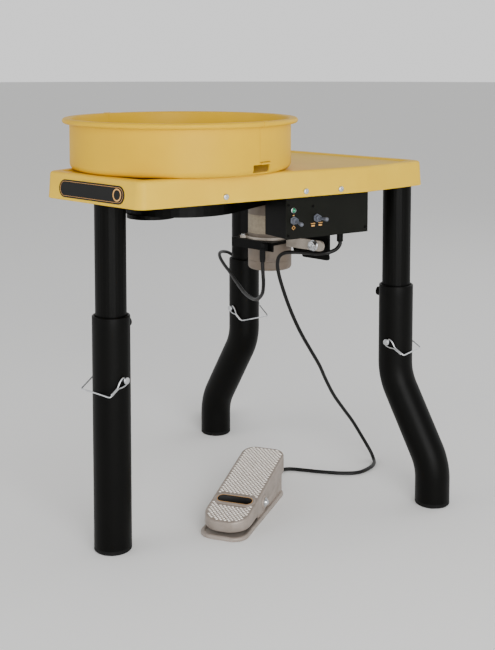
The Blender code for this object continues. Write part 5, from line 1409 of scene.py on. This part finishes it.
@dataclass
class ControlBox:
    """Box and panel under the table's side, with lamp, toggles and marks."""

    inset: float = 0.020
    lamp: tuple[float, float] = (0.345, 0.647)
    power: tuple[float, float] = (0.345, 0.627)
    direction: tuple[float, float] = (0.401, 0.628)
    screws: tuple[tuple[float, float], ...] = ((0.333, 0.658), (0.392, 0.652), (0.333, 0.597),
                                               (0.524, 0.600))
    lever_tilt: float = math.radians(12)

    @staticmethod
    def side() -> np.ndarray:
        """Matrix at the front right corner: X along the side, Y inwards, Z up."""
        along = unit(np.array([0.128, 0.502]))
        matrix = np.eye(4)
        matrix[:2, 0], matrix[:2, 1] = along, (-along[1], along[0])
        matrix[:3, 3] = 0.138, FRONT_LEG_Y - 0.046, 0.0
        return matrix

    def build(self, frame: dict) -> None:
        """Dress the box, and make the switches, the lamp, the screws and marks."""
        side = self.side()
        dress(frame, BLACK_ENAMEL, "control_box")
        dress(frame, PANEL_ENAMEL, "control_panel")
        dress(frame, BOARD, "speed_controller_board")
        front = np.array([0, -1.0, 0])
        for name, spot, tilt in (("power", self.power, (0, -self.lever_tilt)),
                                 ("direction", self.direction, (self.lever_tilt, 0))):
            place = np.array([spot[0], self.inset, spot[1]])
            self._switch(name, place, tilt, side)
        lens_at = side @ standing((self.lamp[0], self.inset, self.lamp[1]), front)
        lens = np.concatenate([[[0, -0.010], [0.0040, -0.010], [0.0040, 0.0012]],
                               arc((0.0, 0.0012), 0.0040, 0, 88, 8)])
        make_piece("lamp_lens", lathe(lens, 24, False).moved(lens_at), GREEN_LENS, ROOT,
                   ["power_lamp"])
        bezel = np.array([[0.0042, 0.0002], [0.0058, 0.0002], [0.0056, 0.0012],
                          [0.0048, 0.0018], [0.0042, 0.0013]])
        make_piece("lamp_bezel", lathe(bezel, 28).moved(lens_at), ZINC, ROOT)
        heads = [dome_screw(0.0030, 0.0017).moved(standing((x, self.inset - 0.0001, z), front))
                 for x, z in self.screws]
        make_piece("panel_screws", Shell.joined(heads).moved(side), BLACK_ENAMEL, ROOT)
        self._marks(side)

    def _switch(self, name: str, place: np.ndarray, tilt: tuple[float, float],
                side: np.ndarray) -> None:
        """Toggle switch: body, nut, ringed bushing and a bat lever.

        Args:
            name: The switch's name.
            place: Its centre on the panel's face, in the side's frame.
            tilt: How far its lever leans along the panel and upwards, in radians.
            side: Matrix of the side's frame.
        """
        front = np.array([0, -1.0, 0])
        rings = np.linspace(0.0030, 0.0095, 14)
        thread = np.column_stack([0.0058 + 0.0002 * (np.arange(14) % 2), rings])
        skin = np.concatenate([[[0, -0.026], [0.0065, -0.026], [0.0065, -0.0026],
                                [0.0058, -0.0024]], thread,
                               [[0.0054, 0.0100], [0.0044, 0.0100], [0.0040, 0.0070],
                                [0, 0.0060]]])
        nut = hexagon(0.0086, 0.0002, 0.0028)
        body = Shell.joined([lathe(skin, 28, False), nut])
        make_piece(f"{name}_toggle_body", body.moved(side @ standing(place, front)),
                   TOGGLE_GREY, ROOT, [f"{name}_switch_body"])
        along, up = tilt
        way = np.array([math.sin(along), -math.cos(along) * math.cos(up), math.sin(up)])
        pivot = place + front * 0.006
        bat = np.concatenate([[[0, 0.0047], [0.0024, 0.0047], [0.0025, 0.0080],
                               [0.0032, 0.0150], [0.0041, 0.0205]],
                              arc((0.0, 0.0215), 0.0042, 0, 88, 7)])
        make_piece(f"{name}_toggle_bat", lathe(bat, 24, False).moved(
            side @ standing(pivot, way)), TOGGLE_GREY, f"{name}_toggle",
            [f"{name}_switch_lever"])

    def _marks(self, side: np.ndarray) -> None:
        """Plain printed marks: a diamond, a dash and a pair of blocks under the toggles."""
        lift, parts = self.inset - 0.0002, []
        x, z = self.power[0], self.power[1] - 0.0145
        size, thick = 0.0044, 0.00015
        outer = [(x, z - size), (x + size, z), (x, z + size), (x - size, z)]
        inner = inset_corners(outer, 0.0009)
        rows = [[(a, lift - d, b) for a, b in ring] for ring, d in
                ((outer, 0.0), (outer, thick), (inner, thick), (inner, 0.0))]
        parts.append(grid_shell(np.array(rows), wrap_rows=True))
        cx, cz = self.direction[0], self.direction[1] - 0.0105
        blocks = [(x, z + 0.0245, 0.0022, 0.0007), (cx - 0.0090, cz, 0.0052, 0.0006),
                  (cx + 0.0090, cz + 0.0003, 0.0050, 0.0006),
                  (cx - 0.0088, cz - 0.0045, 0.0040, 0.0015),
                  (cx + 0.0088, cz - 0.0042, 0.0040, 0.0015)]
        turned = standing((0, lift, 0), (0, -1, 0), (1, 0, 0))
        for a, b, wide, high in blocks:
            parts.append(slab(box_corners(a - wide, a + wide, b - high, b + high),
                              min(high, 0.0006) * 0.6, 0.0, thick, 0.00005, 3).moved(turned))
        make_piece("panel_marks", Shell.joined(parts).moved(side), MARK_INK, ROOT)


@dataclass
class Pedal:
    """Cast foot pedal: rimmed base, ears, housing, treadle, tread and badge."""

    x: float = 0.0686
    setback: float = 0.2972
    turn: float = math.radians(113.57)
    base: tuple[float, float, float] = (0.278, 0.099, 0.008)
    base_middle: float = -0.006
    base_corner: float = 0.030
    front: float = -0.135
    rear: float = 0.140
    half_width: float = 0.048
    wall: float = 0.003
    front_z: float = 0.033
    rear_z: float = 0.090
    corners: tuple[float, float] = (0.041, 0.028)
    boss: tuple[float, float] = (0.0145, 0.0024)
    housing: tuple[float, float, float, float] = (0.020, 0.126, 0.0435, 0.050)
    pivot: tuple[float, float] = (-0.015, 0.034)
    ear: tuple[float, float] = (0.006, 0.015)
    ear_gap: float = 0.0012
    badge_x: float = -0.059
    badge: tuple[float, float] = (0.074, 0.023)
    tread_pitch: tuple[float, float] = (0.0044, 0.0088)
    crown: tuple[float, float, float] = (0.0025, 0.0016, 0.0012)
    skirt: tuple[tuple[float, float], ...] = (
        (-0.135, 0.0130), (-0.050, 0.0200), (-0.015, 0.0215), (0.020, 0.0300),
        (0.140, 0.0550))

    def matrix(self) -> np.ndarray:
        """Matrix of the pedal's frame, X towards its high end."""
        return frame_matrix((self.x, FRONT_LEG_Y + self.setback, 0.0), self.turn)

    def top(self, x: np.ndarray | float) -> np.ndarray | float:
        """Height of the sloping top: a straight line from front to rear."""
        share = (x - self.front) / (self.rear - self.front)
        return self.front_z + (self.rear_z - self.front_z) * share

    def slope(self) -> float:
        """The top's slope in radians."""
        return math.atan2(self.rear_z - self.front_z, self.rear - self.front)

    def outline(self, inset: float) -> np.ndarray:
        """The treadle's plan, moved inwards, read at 240 even points."""
        half = self.half_width - inset
        corners = box_corners(self.front + inset, self.rear - inset, -half, half)
        radii = [self.corners[0] - inset, self.corners[1] - inset,
                 self.corners[1] - inset, self.corners[0] - inset]
        return even_outline(rounded_outline(corners, radii, 16), 240)

    def build(self, frame: dict) -> None:
        """Make all of the pedal's pieces."""
        here = self.matrix()
        self._base(here)
        self._treadle(here)
        self._tread(here)
        self._badge(here)
        self._bolt(here)

    def _base(self, here: np.ndarray) -> None:
        """Base with a rolled rim round a shallow tray, the two ears and the housing."""
        length, width, thick = self.base
        middle = self.base_middle
        corners = box_corners(middle - length / 2, middle + length / 2, -width / 2, width / 2)
        rim = 0.0035
        turn = np.radians(np.linspace(0, 90, 6))
        levels = [(0.0012, 0.0), (0.0, 0.0012), (0.0, thick - rim)]
        levels += [(rim * (1 - math.cos(a)), thick - rim + rim * math.sin(a)) for a in turn[1:]]
        levels += [(rim + 0.0025 + 0.003 * math.sin(a), thick - 0.0028 * (1 - math.cos(a)))
                   for a in turn]
        parts = [grid_shell(stacked(corners, self.base_corner, levels, 16), caps=True)]
        ear_thick, ear_r = self.ear
        ear_in = self.half_width - self.wall - self.ear_gap - ear_thick
        px, pz = self.pivot
        spread = np.array([[px - ear_r - 0.006, 0.0045], [px + ear_r + 0.008, 0.0045]])
        crown = arc((px, pz), ear_r, 8, 172, 22)
        shape = np.concatenate([spread, crown])
        pull = unit(shape - np.array([px, pz * 0.6]))
        for side in (-1, 1):
            rows = []
            for inset, out in ((0.0009, 0.0), (0.0, 0.0009), (0.0, ear_thick - 0.0018),
                               (0.0006, ear_thick - 0.0005), (0.0018, ear_thick)):
                loop = shape - pull * inset
                rows.append(np.column_stack([loop[:, 0],
                                             np.full(len(loop), side * (ear_in + out)),
                                             loop[:, 1]]))
            parts.append(grid_shell(np.array(rows), caps=True))
        start, end, half, high = self.housing
        parts.append(slab(box_corners(start, end, -half, half), 0.012, 0.0045, high, 0.003, 8))
        make_piece("pedal_casting", Shell.joined(parts).moved(here), CAST_ALUMINIUM, ROOT,
                   ["pedal_base"], 40)

    def _treadle(self, here: np.ndarray) -> None:
        """Hollow treadle: sloping top, rounded shoulder and a skirt with a low middle.

        The shoulder is a quarter circle, and the skirt's lower edge follows
        straight lines between the heights given along the treadle.
        """
        stations, heights = np.array(self.skirt).T
        loops = []
        shoulder = 0.0035
        for degrees in np.linspace(90, 0, 7):
            a = math.radians(degrees)
            plan = self.outline(shoulder * (1 - math.cos(a)))
            z = self.top(plan[:, 0]) - shoulder * (1 - math.sin(a))
            loops.append(np.column_stack([plan, z]))
        for inset, lift in ((0.0, 0.0015), (0.0010, 0.0), (self.wall, 0.0004)):
            plan = self.outline(inset)
            edge = np.interp(plan[:, 0], stations, heights) + lift
            loops.append(np.column_stack([plan, edge]))
        loops.append(np.column_stack([plan, self.top(plan[:, 0]) - 0.0045]))
        radius, out = self.boss
        hw = self.half_width
        profile = np.concatenate([[[0, hw - 0.0015], [radius, hw - 0.0015],
                                   [radius, hw + out * 0.3]],
                                  arc((radius - 0.0020, hw + out - 0.0017), 0.0017, 10, 90, 5),
                                  [[0, hw + out]]])
        bosses = [lathe(profile, 40, False).moved(standing(
            (self.pivot[0], 0, self.pivot[1]), (0, side, 0))) for side in (-1, 1)]
        shell = Shell.joined([grid_shell(np.array(loops), caps=True), *bosses])
        make_piece("treadle_casting", shell.moved(here), CAST_ALUMINIUM, "treadle",
                   ["pedal_treadle"], 40)

    def _inside(self, x: np.ndarray, y: np.ndarray, margin: float) -> np.ndarray:
        """Whether points lie inside the treadle's plan by a margin.

        A point's distance to a rounded rectangle is that of its part beyond
        the corner's centre, less the corner's radius.
        """
        middle, half = (self.front + self.rear) / 2, (self.rear - self.front) / 2
        radius = np.where(x < middle, self.corners[0], self.corners[1])
        qx, qy = np.abs(x - middle) - half + radius, np.abs(y) - self.half_width + radius
        outside = np.hypot(np.maximum(qx, 0), np.maximum(qy, 0))
        return outside + np.minimum(np.maximum(qx, qy), 0) - radius < -margin

    def _tread(self, here: np.ndarray) -> None:
        """Crowned diamonds in staggered rows all over the top, but for the badge.

        Each crown is a low pyramid with its top cut flat: four corners below,
        four nearer ones above. All are made at once as arrays.
        """
        dx, dy = self.tread_pitch
        row, column = np.meshgrid(np.arange(-60, 60), np.arange(-9, 10), indexing="ij")
        x = (row * dx).ravel()
        y = ((column + (row % 2) * 0.5) * dy).ravel()
        length, width = self.badge
        stretch = np.maximum(np.abs(y) - (length - width) / 2, 0)
        clear = np.hypot(x - self.badge_x, stretch) > width / 2 + 0.0095
        band = (np.abs(x - self.badge_x) < 0.0085) & (np.abs(y) > length / 2)
        keep = clear & ~band & self._inside(x, y, 0.0050)
        x, y = x[keep], y[keep]
        big, small, tall = self.crown
        around = np.array([[1, 0], [0, 1], [-1, 0], [0, -1]], dtype=float)
        slope = self.slope()
        z = self.top(x)

        def ring(size: float, lift: float) -> np.ndarray:
            """Four corners round every crown at one height."""
            px = x[:, None] + around[None, :, 0] * size * 0.82
            py = y[:, None] + around[None, :, 1] * size * 1.45
            pz = z[:, None] + (px - x[:, None]) * math.tan(slope) + lift
            return np.stack([px - lift * math.sin(slope), py, pz], axis=-1)

        points = np.concatenate([ring(big, -0.0003), ring(small, tall)], axis=1)
        count = len(x)
        pattern = np.array([[0, 1, 5, 4], [1, 2, 6, 5], [2, 3, 7, 6], [3, 0, 4, 7],
                            [4, 5, 6, 7], [3, 2, 1, 0]])
        faces = (pattern[None] + (np.arange(count) * 8)[:, None, None]).reshape(-1, 4)
        shell = Shell(points.reshape(-1, 3), faces.tolist())
        # The crowns' near-white finish is a painted highlight for the light on their tops.
        make_piece("tread_crowns", shell.moved(here), CROWNS_PAINTED_HIGHLIGHT, "treadle", sharp=20)

    def _badge(self, here: np.ndarray) -> None:
        """Blank oval badge with an orange line, in a raised frame."""
        length, width = self.badge
        slope = self.slope()
        tilt = np.eye(4)
        tilt[:3, 0] = math.cos(slope), 0, math.sin(slope)
        tilt[:3, 2] = -math.sin(slope), 0, math.cos(slope)
        tilt[:3, 3] = self.badge_x, 0, self.top(self.badge_x)
        place = here @ tilt

        corners = box_corners(-width / 2, width / 2, -length / 2, length / 2)

        def band(levels: Sequence[tuple[float, float]], closed: bool) -> Shell:
            """Loops of the badge's outline at the given growths and heights."""
            insets = [(-grow, z) for grow, z in levels]
            rows = stacked(corners, width / 2 - 0.0002, insets, 20)
            return grid_shell(rows, wrap_rows=closed, caps=not closed)

        make_piece("badge_plate", band([(0.0, -0.0002), (0.0, 0.0010), (-0.0006, 0.0013)],
                                       False).moved(place), BADGE_BLACK, "treadle",
                   ["pedal_badge"])
        make_piece("badge_line", band([(0.0009, 0.0), (0.0009, 0.0012), (0.0, 0.0013),
                                       (-0.0004, 0.0)], True).moved(place), MARK_INK,
                   "treadle")
        make_piece("badge_frame", band([(0.0068, -0.0003), (0.0058, 0.0009), (0.0040, 0.0020),
                                        (0.0022, 0.0021), (0.0011, 0.0013), (0.0010, -0.0003)],
                                       True).moved(place), CAST_ALUMINIUM, "treadle")

    def _bolt(self, here: np.ndarray) -> None:
        """Pivot bolt through both ears, with a domed head and washers."""
        px, pz = self.pivot
        out = self.half_width + self.boss[1]
        head = np.concatenate([[[0, -out], [0.0039, -out], [0.0039, out + 0.0002],
                                [0.0092, out + 0.0002], [0.0092, out + 0.0012],
                                [0.0066, out + 0.0014]],
                               arc((0.0, out + 0.0010), 0.0064, 10, 88, 8)])
        shells = [lathe(head, 32, False).moved(standing((px, 0, pz), (0, side, 0)))
                  for side in (-1, 1)]
        make_piece("pivot_bolt", Shell.joined(shells).moved(here), ZINC, ROOT,
                   ["pedal_pivot_bolt"])


def legs() -> list[Leg]:
    """The three legs with the ways that their pins, bolts and keepers face."""
    return [Leg("front", 0.0, 0.0, 0, 1.0, 91.0, -148.0),
            Leg("rear_left", -0.226, 0.607, -1, -98.5, 171.5, -32.0),
            Leg("rear_right", 0.226, 0.607, 1, -81.5, 188.5, -32.0)]


def main() -> None:
    """Load the frame, build every sub-assembly and note the sizes."""
    logging.basicConfig(level=logging.INFO, format="%(message)s")
    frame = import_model()
    Studio().build()
    Cords().build()
    for part in (Table(), SplashPan(), *legs(), Wheel(), Drive(), ControlBox(), Pedal()):
        part.build(frame)
        LOG.info("built %s", type(part).__name__)


if __name__ == "__main__":
    main()
